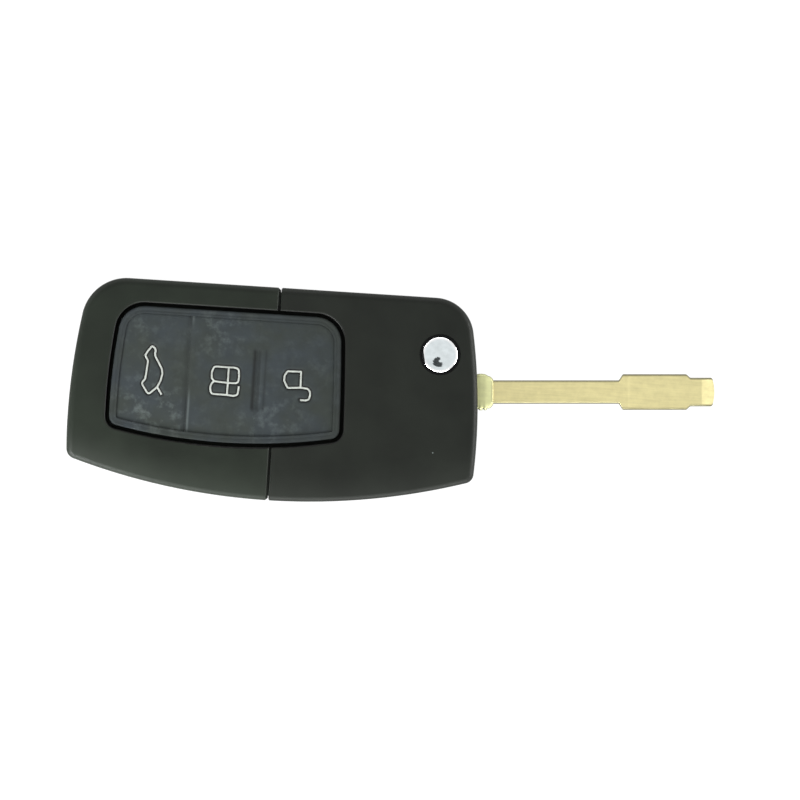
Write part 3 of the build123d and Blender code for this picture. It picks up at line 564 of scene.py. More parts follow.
def smooth_step(low, high, x):
    t = np.clip((x - low) / (high - low), 0, 1)
    return t * t * (3 - 2 * t)


def rolled_edge(distance, reach, drop):
    """How far a surface falls near its edge when it rolls over in a quarter of an ellipse."""
    t = np.clip(1 - distance / reach, 0, 1)
    return drop * (1 - np.sqrt(1 - t * t))


def bump_at(distance, width):
    """A smooth hump that is 1 at distance 0 and fades over the width."""
    return np.exp(-((distance / width) ** 2))


def rounded_path(corners, radius, closed=False, step=8):
    """The points of a polyline with its corners rounded, in mm."""
    corners = [np.array(c, float) for c in corners]
    made = []
    for i, corner in enumerate(corners):
        if not closed and i in (0, len(corners) - 1):
            made.append(corner)
            continue
        before = corners[i - 1] - corner
        after = corners[(i + 1) % len(corners)] - corner
        u, v = before / np.linalg.norm(before), after / np.linalg.norm(after)
        half = np.arccos(np.clip(u @ v, -1, 1)) / 2
        reach = min(radius / tan(half), 0.49 * np.linalg.norm(before), 0.49 * np.linalg.norm(after))
        for t in np.linspace(0, 1, step):
            start, end = corner + u * reach, corner + v * reach
            made.append((1 - t) ** 2 * start + 2 * t * (1 - t) * corner + t**2 * end)
    if closed:
        made.append(made[0])
    return np.array(made)


# Each symbol's place on the face and its strokes, measured from that place in mm
SYMBOLS = {
    "trunk_key": ((-52.0, -5.8), [
        rounded_path([(-0.15, 4.1), (0.42, 3.66), (0.55, 3.17), (0.45, 2.76), (0.62, 2.07),
                      (1.29, 1.01), (1.86, 0.04), (2.03, -0.85), (1.79, -2.07), (1.22, -3.31),
                      (-0.15, -4.62), (-0.56, -4.42), (-1.01, -3.75), (-1.65, -2.79),
                      (-1.02, -1.95), (-0.84, -0.13), (-0.73, 1.38), (-1.32, 2.25),
                      (-0.94, 2.97), (-0.48, 3.6)], 0.5, True, 4),
        np.array([(1.22, -3.31), (2.11, -4.65)])]),
    "lock_key": ((-38.5, -7.3), [
        rounded_path([(-2.07, -0.1), (-2.52, 0.46), (-2.56, 1.5), (-2.2, 2.6), (0.35, 2.57),
                      (1.4, 2.6), (2.3, 2.4), (2.42, 0.9), (2.3, -0.2), (0.53, -0.25)], 0.7, True),
        rounded_path([(-2.07, -0.1), (-2.5, -0.55), (-2.68, -1.3), (-2.5, -2.4), (0.32, -2.43),
                      (1.52, -2.54), (2.35, -2.35), (2.48, -0.75)], 0.8),
        rounded_path([(0.46, 2.54), (0.46, -0.18), (0.43, -2.42)], 0.5)]),
    "unlock_key": ((-25.45, -7.3), [
        np.concatenate([[(0.6, -0.27), (0.55, 2.6)],
                        rounded_path([(0.5, 2.63), (-1.93, 2.55), (-2.4, 1.75), (-2.44, 0.8),
                                      (-1.72, -0.46), (0.6, -0.27)], 0.4)]),
        rounded_path([(0.6, -0.27), (1.9, -0.37), (2.38, -0.9), (2.42, -1.6), (2.2, -2.4),
                      (1.5, -2.54), (0.67, -2.5)], 0.5)]),
}


def symbol_strokes(key):
    (x, y), strokes = SYMBOLS[key]
    return [stroke + (x, y) for stroke in strokes]


def beside_strokes(strokes, offsets, step):
    """Points in rows beside each stroke, where the skin needs them to show the sunk bed."""
    rows = []
    for stroke in strokes:
        line = evenly(stroke, step)
        left = across(np.gradient(line, axis=0))
        rows += [line + offset * left for offset in offsets]
    return np.concatenate(rows)


# The lines between the keys, the short trough on the second and the keys' extent, in mm
FIRST_DIVIDER_X, DIVIDER_X = -45.3, -32.85
TROUGH_Y, TROUGH_HALF = -6.7, 5.6
KEYS_FRONT, KEYS_BACK = -18.5, 5.5
# The keys' thickness, how far below their top the CAD outlines are cut, and the most painted shade
KEY_PLATE, CUT_DEPTH, DARKEST = 2.9, 1.5, 0.97
# Distances from an edge at which the skins have rings of points
KEY_RINGS = (0.02, 0.06, 0.12, 0.2, 0.32, 0.46)
RIM_RINGS = (0.03, 0.09, 0.17, 0.27, 0.38, 0.5, 0.62)
# Rows of points beside a stroke, as shares of the bed's half width
BED_ROWS = np.array([-1, -0.75, -0.5, -0.3, 0, 0.3, 0.5, 0.75, 1])
# The keys and the rim all but touch: what the eye sees as lines are shallow hollows with painted
# shade
KEY_GROWTH, FIRST_GAP_GROWTH = 0.065, 0.08
# The film of dust all over, and the places where thumbs leave more: middle, reach and amount
THIN_FILM = 0.07
HANDLED = [(-53.5, -13.0, 5.5, 0.6), (-47.5, -13.8, 4.0, 0.4), (-40.5, 2.0, 5.0, 0.45),
           (-22.0, -3.0, 5.0, 0.15), (-30.0, -14.0, 6.0, 0.4), (-55.0, 2.0, 4.0, 0.35)]


def handled_at(points):
    """How much dust and grease the rubber carries: a thin film, and more round a few places."""
    worn = np.full(len(points), THIN_FILM)
    for x, y, reach, amount in HANDLED:
        worn += amount * bump_at(np.linalg.norm(points - (x, y), axis=1), reach)
    return np.clip(worn, 0, 1)


def put_on(material, *nodes):
    """Gives CAD nodes this one material."""
    for node in nodes:
        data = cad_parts[node].data
        data.materials.clear()
        data.materials.append(material)


class FLIPKEY_OT_case(bpy.types.Operator):
    """Gives the case mouldings, the pivot cap and the inner holders their plastic"""

    bl_idname = "flipkey.case"
    bl_label = "Case mouldings"

    def execute(self, context):
        colours = context.scene.flipkey_colours
        put_on(moulded_abs("moulded_abs_remote", colours.case, colours),
               "remote_front_case", "remote_rear_case")
        put_on(moulded_abs("moulded_abs_head", colours.case_head, colours),
               "head_front_cover", "head_rear_cover", "pivot_cap")
        put_on(moulded_nylon(), "cell_holder", "transponder_holder")
        return {"FINISHED"}


def columns(x):
    """Points in upright rows round x, close enough to show the hollow between two keys."""
    reach, pitch = 1.6, 0.16
    places = np.arange(x - reach, x + reach + 1e-6, pitch)
    upwards = np.arange(KEYS_FRONT, KEYS_BACK, 2 * pitch)
    return np.stack(np.meshgrid(places, upwards), -1).reshape(-1, 2)


def key_relief(points, lines, sizes):
    """How far the keys' surface lies below its top, and how much painted shade and painted
    highlight it carries, each as a value at every point. The lines are the key's outline."""
    first = points[:, 0] - FIRST_DIVIDER_X
    second = points[:, 0] - DIVIDER_X
    middle = lines.mean(1)[:, 0]
    beside_rim = np.minimum(np.abs(middle - FIRST_DIVIDER_X), np.abs(middle - DIVIDER_X)) > 0.3
    from_rim = distance_to(points, lines[beside_rim])
    at_rim = 1 - smooth_step(0.0, 0.28, from_rim)
    ends = smooth_step(2.0, 4.5, points[:, 1]) + smooth_step(8.0, 12.0, -points[:, 1])
    valley = bump_at(first, np.where(first < 0, 0.9, 0.4))
    from_trough = np.abs(points[:, 1] - TROUGH_Y)
    along = 1 - smooth_step(TROUGH_HALF - 0.6, TROUGH_HALF + 0.4, from_trough)
    floor = along * (1 - smooth_step(0.4, 0.95, np.abs(second)))
    depth = 0.02 * at_rim + (sizes.valley_depth * valley + sizes.trough_depth * floor) / MM
    # Painted shade at the keys' edges by the rim, in the valley beside the boot key, and in and
    # beside the trough
    dark = (0.07 * at_rim
            + 0.24 * bump_at(first + 0.38, 0.48) + 0.3 * ends * bump_at(first + 0.1, 0.2)
            + along * (0.72 * bump_at(second + 0.65, 0.27) + 0.3 * (np.abs(second) < 0.5)
                       + 0.4 * bump_at(second - 1.45, 0.2)))
    # A painted highlight on the lock key's edge beside the boot key, near its ends
    painted_highlight = 0.2 * ends * bump_at(first - 0.35, 0.18)
    return depth, dark, painted_highlight


class FLIPKEY_OT_soft_keys(bpy.types.Operator):
    """Moulds the three soft keys and the rim round them in grey rubber"""

    bl_idname = "flipkey.soft_keys"
    bl_label = "Soft keys"

    def execute(self, context):
        sizes = context.scene.flipkey_sizes
        rubber = keypad_rubber(context.scene.flipkey_colours)
        half = sizes.groove_width / MM / 2
        for key in SYMBOLS:
            low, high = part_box(key)
            top = high.z / MM
            plate_low = top - KEY_PLATE
            loop = even_loop(section_loops(key, top - CUT_DEPTH)[0], 0.2)
            first_gap = np.abs(loop[:, 0] - FIRST_DIVIDER_X) < 0.3
            loops = [grown(loop, KEY_GROWTH + FIRST_GAP_GROWTH * first_gap)]
            lines = loop_lines(loops)
            strokes = symbol_strokes(key)
            extra = np.concatenate([beside_strokes(strokes, half * BED_ROWS, 0.14),
                                    columns(FIRST_DIVIDER_X), columns(DIVIDER_X)])
            points, faces = skin(loops, KEY_RINGS, extra, 0.4)
            edge = distance_to(points, lines)
            fine = [evenly(stroke, 0.1) for stroke in strokes]
            ink_lines = np.concatenate([np.stack([s[:-1], s[1:]], 1) for s in fine])
            bed = 1 - smooth_step(0.45 * half, half, distance_to(points, ink_lines))
            depth, dark, painted_highlight = key_relief(points, lines, sizes)
            # The key nearest the head is painted a little darker all over
            dark += 0.08 * smooth_step(-34, -24, points[:, 0])
            z = top - depth - sizes.key_crown / MM * (1 - smooth_step(0, 5, edge))
            z -= sizes.groove_depth / MM * bed
            mesh = bmesh.new()
            add_plate(mesh, points, faces, z, plate_low,
                      {"handled": handled_at(points), "painted_shade_and_tone": np.clip(dark + bed, 0, DARKEST),
                       "painted_highlight": painted_highlight})
            (x, y), _ = SYMBOLS[key]
            add_plunger(mesh, x, y, low.z / MM, plate_low + 0.2)
            piece = mesh_object(f"{key}_rubber", mesh, [rubber])
            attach(piece, key)
            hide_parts(key)
        self.make_rim(rubber)
        return {"FINISHED"}

    def make_rim(self, rubber):
        """The rim: a rounded bead along its outer edge, a fine channel, and a fall to the keys."""
        low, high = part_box("keypad_frame")
        top, base = high.z / MM, low.z / MM
        outer, inner = section_loops("keypad_frame", top - 1.0)[:2]
        loops = [even_loop(outer, 0.2), grown(even_loop(inner, 0.2), -KEY_GROWTH)]
        points, faces = skin(loops, RIM_RINGS, (), 0.3)
        off_outer = distance_to(points, loop_lines(loops[:1]))
        off_inner = distance_to(points, loop_lines(loops[1:]))
        bead, bead_drop, channel_at, channel_depth, fall_depth = 0.3, 0.24, 0.78, 0.035, 0.015
        channel = bump_at(off_outer - channel_at, 0.15)
        fall = 1 - smooth_step(0.0, 0.25, off_inner)
        z = (top - rolled_edge(off_outer, bead, bead_drop) - channel_depth * channel
             - fall_depth * fall)
        mesh = bmesh.new()
        # The rim is painted a little darker all over, and painted shade darkens its outer bead, its
        # channel and its fall to the keys
        add_plate(mesh, points, faces, z, base + 0.5,
                  {"handled": handled_at(points),
                   "painted_shade_and_tone": 0.14 + 0.05 * bump_at(off_outer, bead) + 0.13 * channel + 0.03 * fall,
                   "painted_highlight": np.zeros(len(points))})
        holes = [even_loop(l, 0.4) for l in section_loops("keypad_frame", base + 0.4)]
        # The flat sheet under the rim overlaps it by 0.3 mm
        points, faces = skin(holes, (0.1,), (), 1.5)
        none = np.zeros(len(points))
        add_plate(mesh, points, faces, none + base + 0.8, base,
                  {"handled": none, "painted_shade_and_tone": none, "painted_highlight": none})
        piece = mesh_object("keypad_rim", mesh, [rubber])
        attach(piece, "shell")
        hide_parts("keypad_frame")


def add_plunger(mesh, x, y, low, high):
    """The peg under a key: a short round column with a rounded foot."""
    profile = [(0.0, low), (1.5, low), (1.8, low + 0.12), (1.9, low + 0.4), (1.9, high)]
    add_lathe(mesh, (x, y), profile, 40)


def add_lathe(mesh, centre, profile, count, flat=None):
    """Turns a profile of (radius, height) about an upright axis, in mm. A flat cuts the rim off.

    flat is (distance of the flat from the axis, its direction in degrees, its lowest height)."""
    rows = []
    for radius, height in profile:
        if radius < 1e-6:
            rows.append([mesh.verts.new((centre[0] * MM, centre[1] * MM, height * MM))])
            continue
        row = []
        for i in range(count):
            angle = 2 * pi * i / count
            r = radius
            if flat and height > flat[2]:
                lean = cos(angle - radians(flat[1]))
                if lean > 0:
                    r = min(r, flat[0] / lean)
            row.append(mesh.verts.new(((centre[0] + r * cos(angle)) * MM,
                                       (centre[1] + r * sin(angle)) * MM, height * MM)))
        rows.append(row)
    made = []
    for lower, upper in zip(rows, rows[1:]):
        for i in range(count):
            j = (i + 1) % count
            if len(lower) == 1:
                made.append(mesh.faces.new((lower[0], upper[j], upper[i])))
            elif len(upper) == 1:
                made.append(mesh.faces.new((lower[i], lower[j], upper[0])))
            else:
                made.append(mesh.faces.new((lower[i], lower[j], upper[j], upper[i])))
    for row, flip in ((rows[0], True), (rows[-1], False)):
        if len(row) > 1:
            made.append(mesh.faces.new(row[::-1] if flip else row))
    bmesh.ops.recalc_face_normals(mesh, faces=made)


def stroke_tree(ink):
    """A Geometry Nodes tree that draws a low rounded ribbon along a path, and its inputs."""
    tree = bpy.data.node_groups.new("stroke_along_path", "GeometryNodeTree")
    tree.is_modifier = True
    face = tree.interface
    face.new_socket("Path", in_out="INPUT", socket_type="NodeSocketGeometry")
    sockets = {name: face.new_socket(name, in_out="INPUT", socket_type="NodeSocketFloat").identifier
               for name in ("Width", "Height", "Step")}
    face.new_socket("Mesh", in_out="OUTPUT", socket_type="NodeSocketGeometry")
    given = add_node(tree, "NodeGroupInput")
    even = add_node(tree, "GeometryNodeResampleCurve", {"mode": "LENGTH"},
                    {"Curve": given.outputs["Path"], "Length": given.outputs["Step"]})
    level = add_node(tree, "GeometryNodeSetCurveNormal", {"mode": "Z_UP"}, {"Curve": even})
    section = add_node(tree, "GeometryNodeCurvePrimitiveQuadrilateral", links={
        "Width": given.outputs["Width"], "Height": given.outputs["Height"]})
    edge = add_node(tree, "ShaderNodeMath", {"operation": "MULTIPLY", 1: 0.48},
                    {0: given.outputs["Height"]})
    rounded = add_node(tree, "GeometryNodeFilletCurve", {"mode": "POLY", "Count": 3},
                       {"Curve": section, "Radius": edge})
    ribbon = add_node(tree, "GeometryNodeCurveToMesh", {"Fill Caps": True},
                      {"Curve": level, "Profile Curve": rounded})
    real = add_node(tree, "GeometryNodeRealizeInstances", links={"Geometry": ribbon})
    inked = add_node(tree, "GeometryNodeSetMaterial", {"Material": ink}, {"Geometry": real})
    add_node(tree, "NodeGroupOutput", links={"Mesh": inked})
    return tree, sockets


class FLIPKEY_OT_symbols(bpy.types.Operator):
    """Prints the symbols on the keys as thin lines of ink along their strokes"""

    bl_idname = "flipkey.symbols"
    bl_label = "Printed symbols"

    def execute(self, context):
        sizes = context.scene.flipkey_sizes
        ink = printed_ink(context.scene.flipkey_colours)
        tree, sockets = stroke_tree(ink)
        for key in SYMBOLS:
            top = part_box(key)[1].z
            floor = top - sizes.key_crown * 0.2 - sizes.groove_depth
            curve = bpy.data.curves.new(f"{key}_path", "CURVE")
            curve.dimensions = "3D"
            for order, stroke in enumerate(symbol_strokes(key)):
                closed = np.linalg.norm(stroke[0] - stroke[-1]) < 1e-6
                points = stroke[:-1] if closed else stroke
                spline = curve.splines.new("POLY")
                spline.points.add(len(points) - 1)
                for point, (x, y) in zip(spline.points, points):
                    # Crossing strokes lie a hair over each other, so that neither flickers
                    lift = sizes.ink_height / 2 - 0.005 * MM * order
                    point.co = (x * MM, y * MM, floor + lift, 1)
                spline.use_cyclic_u = bool(closed)
            path = new_object(f"{key}_path", curve)
            modifier = path.modifiers.new("Stroke", "NODES")
            modifier.node_group = tree
            for name, value in (("Width", sizes.ink_width), ("Height", sizes.ink_height),
                                ("Step", 0.1 * MM)):
                modifier[sockets[name]] = value
            piece = plain_mesh(path, f"{key}_symbol")
            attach(piece, key)
        return {"FINISHED"}


def plain_mesh(source, name):
    """The evaluated shape of an object as a plain mesh object, and the object removed."""
    bpy.context.view_layer.update()
    shape = source.evaluated_get(bpy.context.evaluated_depsgraph_get())
    data = bpy.data.meshes.new_from_object(shape)
    bpy.data.objects.remove(source)
    data.name = name
    for polygon in data.polygons:
        polygon.use_smooth = True
    return new_object(name, data)


class FLIPKEY_OT_button(bpy.types.Operator):
    """Turns the chromed release button, domed, with its keying flat and faint turned rings"""

    bl_idname = "flipkey.button"
    bl_label = "Release button"

    def execute(self, context):
        sizes, colours = context.scene.flipkey_sizes, context.scene.flipkey_colours
        step = sizes.ring_step / MM
        low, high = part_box("release_button")
        peak, under = high.z / MM, low.z / MM
        radius, edge, dome, flange = 3.27, 0.48, 0.35, 4.22
        seat = peak - dome - 0.05 - 1.8
        shelf = peak - dome - 0.7
        ball = (radius**2 + dome**2) / (2 * dome)
        flat_distance, flat_direction, ring_height = 2.88, 192.1, 0.0008
        profile = [(0.0, peak)]
        for r in np.arange(0.06, radius - edge + 1e-6, 0.07):
            ripple = ring_height * sin(2 * pi * r / step)
            profile.append((r, peak - ball + sqrt(ball**2 - r * r) + ripple))
        top = peak - ball + sqrt(ball**2 - (radius - edge) ** 2)
        for a in np.linspace(0, pi / 2, 8)[1:]:
            profile.append((radius - edge + edge * sin(a), top - edge * (1 - cos(a))))
        profile += [(radius, shelf), (0.0, shelf)]
        mesh = bmesh.new()
        painted_edge_highlight = mesh.verts.layers.float.new("painted_edge_highlight")
        add_lathe(mesh, (0, 0), profile, 180, flat=(flat_distance, flat_direction, seat))
        # A painted highlight along the button's rounded edge
        for vert in mesh.verts:
            off_axis = vert.co.xy.length / MM
            vert[painted_edge_highlight] = smooth_step(radius - edge - 0.15, radius - edge + 0.1, off_axis)
        piece = mesh_object("release_button_chrome", mesh, [chrome_plate(colours)])
        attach(piece, "release_button")
        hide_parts("release_button")
        bore, bore_top, soft = 1.65, under + 1.4, 0.15
        skirt = [(0.0, shelf - 0.02), (radius - 0.1, shelf - 0.02), (radius, shelf - 0.12),
                 (radius, seat), (flange - soft, seat), (flange, seat - soft),
                 (flange, under + soft), (flange - soft, under), (bore + 0.1, under),
                 (bore, under + 0.1), (bore, bore_top), (0.0, bore_top)]
        mesh = bmesh.new()
        add_lathe(mesh, (0, 0), skirt, 120)
        piece = mesh_object("release_button_skirt", mesh, [moulded_nylon()])
        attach(piece, "release_button")
        return {"FINISHED"}


def on_blade(x, y, z):
    """A point given along, across and above the blade's own line, in the key's frame and in m."""
    down = y - BLADE_OFFSET
    return ((x * cos(BLADE_TURN) - down * sin(BLADE_TURN)) * MM,
            (x * sin(BLADE_TURN) + down * cos(BLADE_TURN)) * MM, (BLADE_HEIGHT + z) * MM)


def join_rows(mesh, rows):
    """Faces between neighbouring rings of points, and one over each open end."""
    for before, after in zip(rows, rows[1:]):
        for i, a in enumerate(before):
            j = (i + 1) % len(before)
            mesh.faces.new((a, before[j], after[j], after[i]))
    mesh.faces.new(rows[0])
    mesh.faces.new(rows[-1][::-1])
    bmesh.ops.recalc_face_normals(mesh, faces=mesh.faces)


class FLIPKEY_OT_blade(bpy.types.Operator):
    """Mills the uncut blade: rod, wide part, stepped end with a bevelled tip, and collar"""

    bl_idname = "flipkey.blade"
    bl_label = "Blade"

    def execute(self, context):
        brass = milled_brass(context.scene.flipkey_colours)
        mesh = bmesh.new()
        mesh.verts.layers.float.new("painted_blade_shade")
        mesh.verts.layers.float.new("cast")
        self.add_shank(mesh)
        self.add_collar(mesh)
        self.add_block(mesh, start=-2.9, end=6.4, half_width=1.75, half_height=1.0, edge=0.1)
        piece = mesh_object("key_blade_brass", mesh, [brass])
        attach(piece, "blade")
        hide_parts("key_blade")
        return {"FINISHED"}

    def add_shank(self, mesh):
        """The turned and flattened shank, as a row of sections along the blade."""
        rod, wide, end, thick = 2.15, 3.275, 2.625, 1.1
        reach, bevel, bevel_edge, bow = 50.1, 2.35, 0.45, 0.4
        # How sharply the flats meet the round sides
        sharp = 9.0
        stations = [(9.4, rod)]
        stations += [(x, rod) for x in np.linspace(12, 32.2, 12)]
        for t in np.linspace(0, 1, 13):
            stations.append((32.55 + t, rod + (wide - rod) * smooth_step(0, 1, t)))
        stations += [(x, wide) for x in np.arange(33.7, 34.9, 0.15)]
        stations += [(x, wide) for x in np.linspace(35.5, 44.7, 8)]
        for t in np.linspace(0, 1, 11):
            stations.append((44.85 + t, wide + (end - wide) * smooth_step(0, 1, t)))
        stations += [(x, end) for x in (46.5, 47.2, reach - bevel - 0.12, reach - bevel,
                                        reach - bevel + 0.12, 48.6, 49.3, reach - 0.25)]
        stations += [(reach - 0.1, end - 0.08), (reach, end - 0.25)]
        rows = []
        count = 96
        painted_blade_shade = mesh.verts.layers.float["painted_blade_shade"]
        for x, width in stations:
            # Where the round rod was pressed flat a low ridge runs across
            high = thick + 0.05 * bump_at(x - 34.2, 0.3) - 0.05
            if x > reach - bevel:
                high -= (thick - bevel_edge) * (x - reach + bevel) / bevel
            row = []
            for i in range(count):
                angle = 2 * pi * i / count
                y, z = width * cos(angle), width * sin(angle)
                z = (np.sign(z) * (abs(z) ** -sharp + high**-sharp) ** (-1 / sharp)
                     if abs(z) > 1e-6 else 0.0)
                back = bow * (y / end) ** 2 * smooth_step(reach - 2.2, reach, x)
                row.append(mesh.verts.new(on_blade(x - back, y, z)))
                # Painted shade along the blade's sides, where the section turns away
                row[-1][painted_blade_shade] = 0.9 - 0.9 * smooth_step(0.18, 0.5, width - abs(y))
            rows.append(row)
        join_rows(mesh, rows)

    def add_collar(self, mesh):
        """The cast collar: a rounded lump with three small teeth below and a fall to the rod."""
        rows = []
        count = 72
        painted_blade_shade, cast = (mesh.verts.layers.float[name] for name in ("painted_blade_shade", "cast"))
        # Along, half width above and below the line, half thickness
        for x, above, below, high in (
                (6.2, 2.9, 2.9, 1.5), (6.3, 3.05, 3.1, 1.62), (6.55, 3.2, 3.28, 1.65),
                (6.8, 3.26, 3.33, 1.65), (7.0, 3.3, 3.08, 1.645), (7.22, 3.35, 3.3, 1.65),
                (7.45, 3.35, 3.35, 1.65), (7.67, 3.35, 3.34, 1.65), (7.9, 3.33, 3.05, 1.645),
                (8.12, 3.3, 3.3, 1.65), (8.35, 3.24, 3.35, 1.64), (8.55, 3.15, 3.2, 1.625),
                (8.75, 3.0, 2.95, 1.6), (8.92, 2.92, 3.0, 1.575), (9.15, 2.87, 2.94, 1.54),
                (9.38, 2.72, 2.77, 1.5), (9.6, 2.47, 2.52, 1.45), (9.72, 2.3, 2.3, 1.38),
                (9.8, 2.1, 2.1, 1.2)):
            row = []
            for i in range(count):
                angle = 2 * pi * i / count
                c, s = cos(angle), sin(angle)
                # A squarish section with rounded corners
                reach = (abs(c) ** 6 + abs(s) ** 6) ** (-1 / 6)
                row.append(mesh.verts.new(
                    on_blade(x, (above if c > 0 else below) * c * reach, high * s * reach)))
                row[-1][cast] = 1 - smooth_step(9.4, 9.8, x)
                # Painted shade on the collar's fall to the rod and along its sides
                row[-1][painted_blade_shade] = max(0.7 * smooth_step(9.3, 9.6, x),
                                       0.5 * smooth_step(0.8, 0.97, abs(c) * reach))
            rows.append(row)
        join_rows(mesh, rows)

    def add_block(self, mesh, start, end, half_width, half_height, edge):
        """A block on the blade's line with rounded edges, such as the tang."""
        made = bmesh.ops.create_cube(mesh, size=1.0)["verts"]
        for vert in made:
            x = start if vert.co.x < 0 else end
            y = half_width * (-1 if vert.co.y < 0 else 1)
            z = half_height * (-1 if vert.co.z < 0 else 1)
            vert.co = on_blade(x, y, z)
        edges = list({e for v in made for e in v.link_edges})
        bmesh.ops.bevel(mesh, geom=edges, offset=edge * MM, offset_type="OFFSET", segments=4,
                        profile=0.5, affect="EDGES")


class FLIPKEY_OT_metal(bpy.types.Operator):
    """Gives the carrier, spring, pin, screws and contacts their metals"""

    bl_idname = "flipkey.metal"
    bl_label = "Metal parts"

    def execute(self, context):
        # Die-cast zinc: grey, with a skin that is dull and slightly clouded
        put_on(plain_metal("cast_zinc", "#8C8D8E", (0.4, 0.6), 0.9, 0.01), "blade_carrier")
        # Music wire: bright, with faint draw marks
        wire = plain_metal("music_wire", "#B4B6BA", (0.2, 0.34), 0.4, 0.004)
        put_on(wire, "blade_roll_pin")
        self.make_spring(wire)
        # Black oxide on steel: nearly black with a steel glint
        put_on(plain_metal("black_oxide_steel", "#3A3A3D", (0.32, 0.5), 0.5, 0.006),
               "head_screw_nose", "head_screw_middle")
        # Nickel on spring bronze: warm and shiny
        put_on(plain_metal("nickel_plate", "#CBC8BE", (0.18, 0.3), 1.2, 0.003),
               "battery_contact_positive", "battery_contact_negative")
        return {"FINISHED"}

    def make_spring(self, wire):
        """The coil under the button."""
        low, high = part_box("flip_spring")
        bottom, top = low.z / MM, high.z / MM
        turns, steps, thick, stroke = 6, 36, 0.35, 1.5
        middle = high.x / MM - thick
        rows = []
        mesh = bmesh.new()
        for i in range(turns * steps + 1):
            share = i / (turns * steps)
            angle = 2 * pi * turns * share
            z = bottom + thick + (top - bottom - 2 * thick) * share
            row = []
            for side in np.linspace(0, 2 * pi, 12, endpoint=False):
                r = middle + thick * cos(side)
                row.append(mesh.verts.new((r * cos(angle) * MM, r * sin(angle) * MM,
                                           (z + thick * sin(side)) * MM)))
            rows.append(row)
        join_rows(mesh, rows)
        piece = mesh_object("flip_spring_coil", mesh, [wire])
        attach(piece, "blade")
        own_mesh(piece)
        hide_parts("flip_spring")


# The level at which the picture has its frame width, in mm
AIM_HEIGHT = 12.0


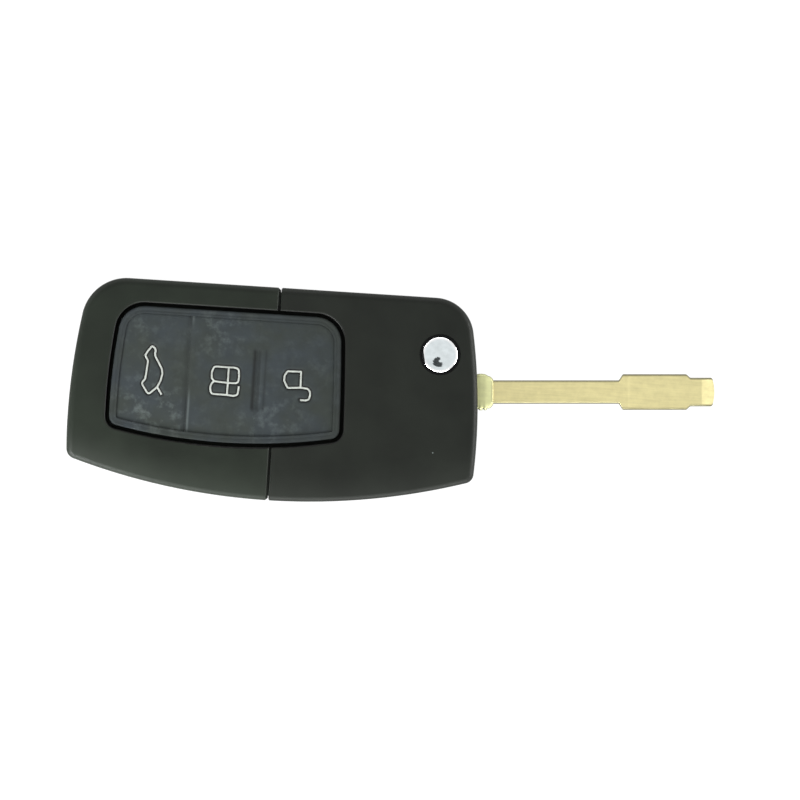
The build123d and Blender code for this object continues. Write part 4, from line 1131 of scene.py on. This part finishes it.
class FLIPKEY_OT_studio(bpy.types.Operator):
    """Sets the pale floor, the soft light and the camera that looks straight down"""

    bl_idname = "flipkey.studio"
    bl_label = "Studio"

    def execute(self, context):
        studio = context.scene.flipkey_studio
        self.make_floor()
        self.make_sky(context.scene, studio)
        self.make_panel(studio)
        self.make_camera(context.scene, studio)
        context.scene.view_settings.view_transform = "Standard"
        return {"FINISHED"}

    def make_floor(self):
        """A white sheet. The camera sees it as white, less the shadow that the key drops on it."""
        material = bpy.data.materials.new("white_paper_sheet")
        tree = empty_tree(material)
        path = add_node(tree, "ShaderNodeLightPath")
        seen = path.outputs["Is Camera Ray"]
        for ray in ("Is Glossy Ray", "Is Transmission Ray"):
            seen = add_node(tree, "ShaderNodeMath", {"operation": "MAXIMUM"},
                            {0: seen, 1: path.outputs[ray]})
        # What lights the key is plain paper. What is seen is mostly even, and the rest takes shadow
        paper = add_node(tree, "ShaderNodeBsdfDiffuse", {"Color": rgba(linear("#E7E7E7"))})
        thin = add_node(tree, "ShaderNodeBsdfDiffuse", {"Color": rgba(linear("#616161"))})
        glow = add_node(tree, "ShaderNodeEmission", {"Strength": 0.92})
        white = add_node(tree, "ShaderNodeAddShader", links={0: thin, 1: glow})
        mixed = add_node(tree, "ShaderNodeMixShader", links={0: seen, 1: paper, 2: white})
        add_node(tree, "ShaderNodeOutputMaterial", links={"Surface": mixed})
        mesh = bmesh.new()
        bmesh.ops.create_grid(mesh, x_segments=8, y_segments=8, size=3.0)
        floor = mesh_object("paper_sheet", mesh, [material])

    def make_sky(self, scene, studio):
        world = bpy.data.worlds.new("even_sky")
        scene.world = world
        tree = empty_tree(world)
        path = add_node(tree, "ShaderNodeLightPath")
        strength = add_node(tree, "ShaderNodeMix", {"data_type": "FLOAT", 2: studio.sky, 3: 1.0},
                            {0: path.outputs["Is Camera Ray"]})
        light = add_node(tree, "ShaderNodeBackground", {"Color": (1, 1, 1, 1)},
                         {"Strength": strength})
        add_node(tree, "ShaderNodeOutputWorld", links={"Surface": light})

    def make_panel(self, studio):
        """Low soft boxes beside the key, which light its edges, and the dark shape of a camera
        beside the lens, which only a mirror finish shows."""
        for name, place, width, height, brightness in (
                ("box_below", (-0.1, -0.75, 0.17), 1.4, 0.28, 10.5),
                ("box_below_left", (-0.12, -0.1, 0.055), 0.06, 0.04, 33.0),
                ("box_right", (0.8, 0.0, 0.16), 0.9, 0.28, 13.0),
                ("box_left", (-0.85, 0.05, 0.16), 0.9, 0.25, 0.2),
                ("box_above_left", (-0.7, 0.45, 0.27), 0.3, 0.1, 14.0),
                ("box_above", (-0.1, 0.85, 0.18), 1.2, 0.25, 2.6)):
            lamp = bpy.data.lights.new(name, "AREA")
            lamp.shape = "RECTANGLE"
            lamp.size, lamp.size_y = width, height
            lamp.energy = studio.low_light * brightness * pi * width * height
            soft = new_object(name, lamp)
            soft.location = place
            soft.rotation_euler = Vector(place).to_track_quat("Z", "Y").to_euler()
            soft.visible_camera = False
        mesh = bmesh.new()
        # The card's size, place and level in m: most of a disc, with the lens's bite out of it
        radius, place_x, place_y, level = 0.122, -0.028, -0.172, 0.98
        rim = [(radius * cos(a), radius * sin(a))
               for a in np.linspace(radians(62), radians(352), 40)]
        mesh.faces.new([mesh.verts.new((x + place_x, y + place_y, level))
                        for x, y in rim + [(0.06, 0.002), (0.012, 0.028)]])
        dark = new_material("dark_camera_body", Base_Color=rgba(linear("#121618")))[0]
        card = mesh_object("camera_body_card", mesh, [dark])
        card.visible_camera = card.visible_diffuse = card.visible_shadow = False

    def make_camera(self, scene, studio):
        data = bpy.data.cameras.new("product_camera")
        data.sensor_width = 36.0
        data.lens = studio.lens_mm
        camera = new_object("product_camera", data)
        away = studio.frame_width * studio.lens_mm / data.sensor_width
        camera.location = (studio.aim_x, studio.aim_y, AIM_HEIGHT * MM + away)
        camera.rotation_euler = (0, 0, studio.turn)
        data.clip_end = 20
        scene.camera = camera


class FLIPKEY_PT_panel(bpy.types.Panel):
    """Lists the pieces in the order in which they are made"""

    bl_idname = "FLIPKEY_PT_panel"
    bl_label = "Flip Key Shell"
    bl_space_type = "VIEW_3D"
    bl_region_type = "UI"
    bl_category = "Flip Key"

    def draw(self, context):
        for group in GROUPS:
            box = self.layout.box()
            settings = getattr(context.scene, group)
            for name in settings.__annotations__:
                box.prop(settings, name)
        for operator in OPERATORS:
            self.layout.operator(operator.bl_idname)


GROUPS = {
    "flipkey_sizes": FlipKeySizes, "flipkey_colours": FlipKeyColours,
    "flipkey_studio": FlipKeyStudio,
}
OPERATORS = (FLIPKEY_OT_case, FLIPKEY_OT_soft_keys, FLIPKEY_OT_symbols, FLIPKEY_OT_button,
             FLIPKEY_OT_blade, FLIPKEY_OT_metal, FLIPKEY_OT_studio)
CLASSES = (*GROUPS.values(), *OPERATORS, FLIPKEY_PT_panel)


def register():
    for cls in CLASSES:
        bpy.utils.register_class(cls)
    for name, group in GROUPS.items():
        setattr(bpy.types.Scene, name, bpy.props.PointerProperty(type=group))


def unregister():
    for name in GROUPS:
        delattr(bpy.types.Scene, name)
    for cls in reversed(CLASSES):
        bpy.utils.unregister_class(cls)


def main():
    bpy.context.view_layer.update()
    register()
    bpy.ops.flipkey.case()
    bpy.ops.flipkey.soft_keys()
    bpy.ops.flipkey.symbols()
    bpy.ops.flipkey.button()
    bpy.ops.flipkey.blade()
    bpy.ops.flipkey.metal()
    bpy.ops.flipkey.studio()


if __name__ == "__main__":
    main()
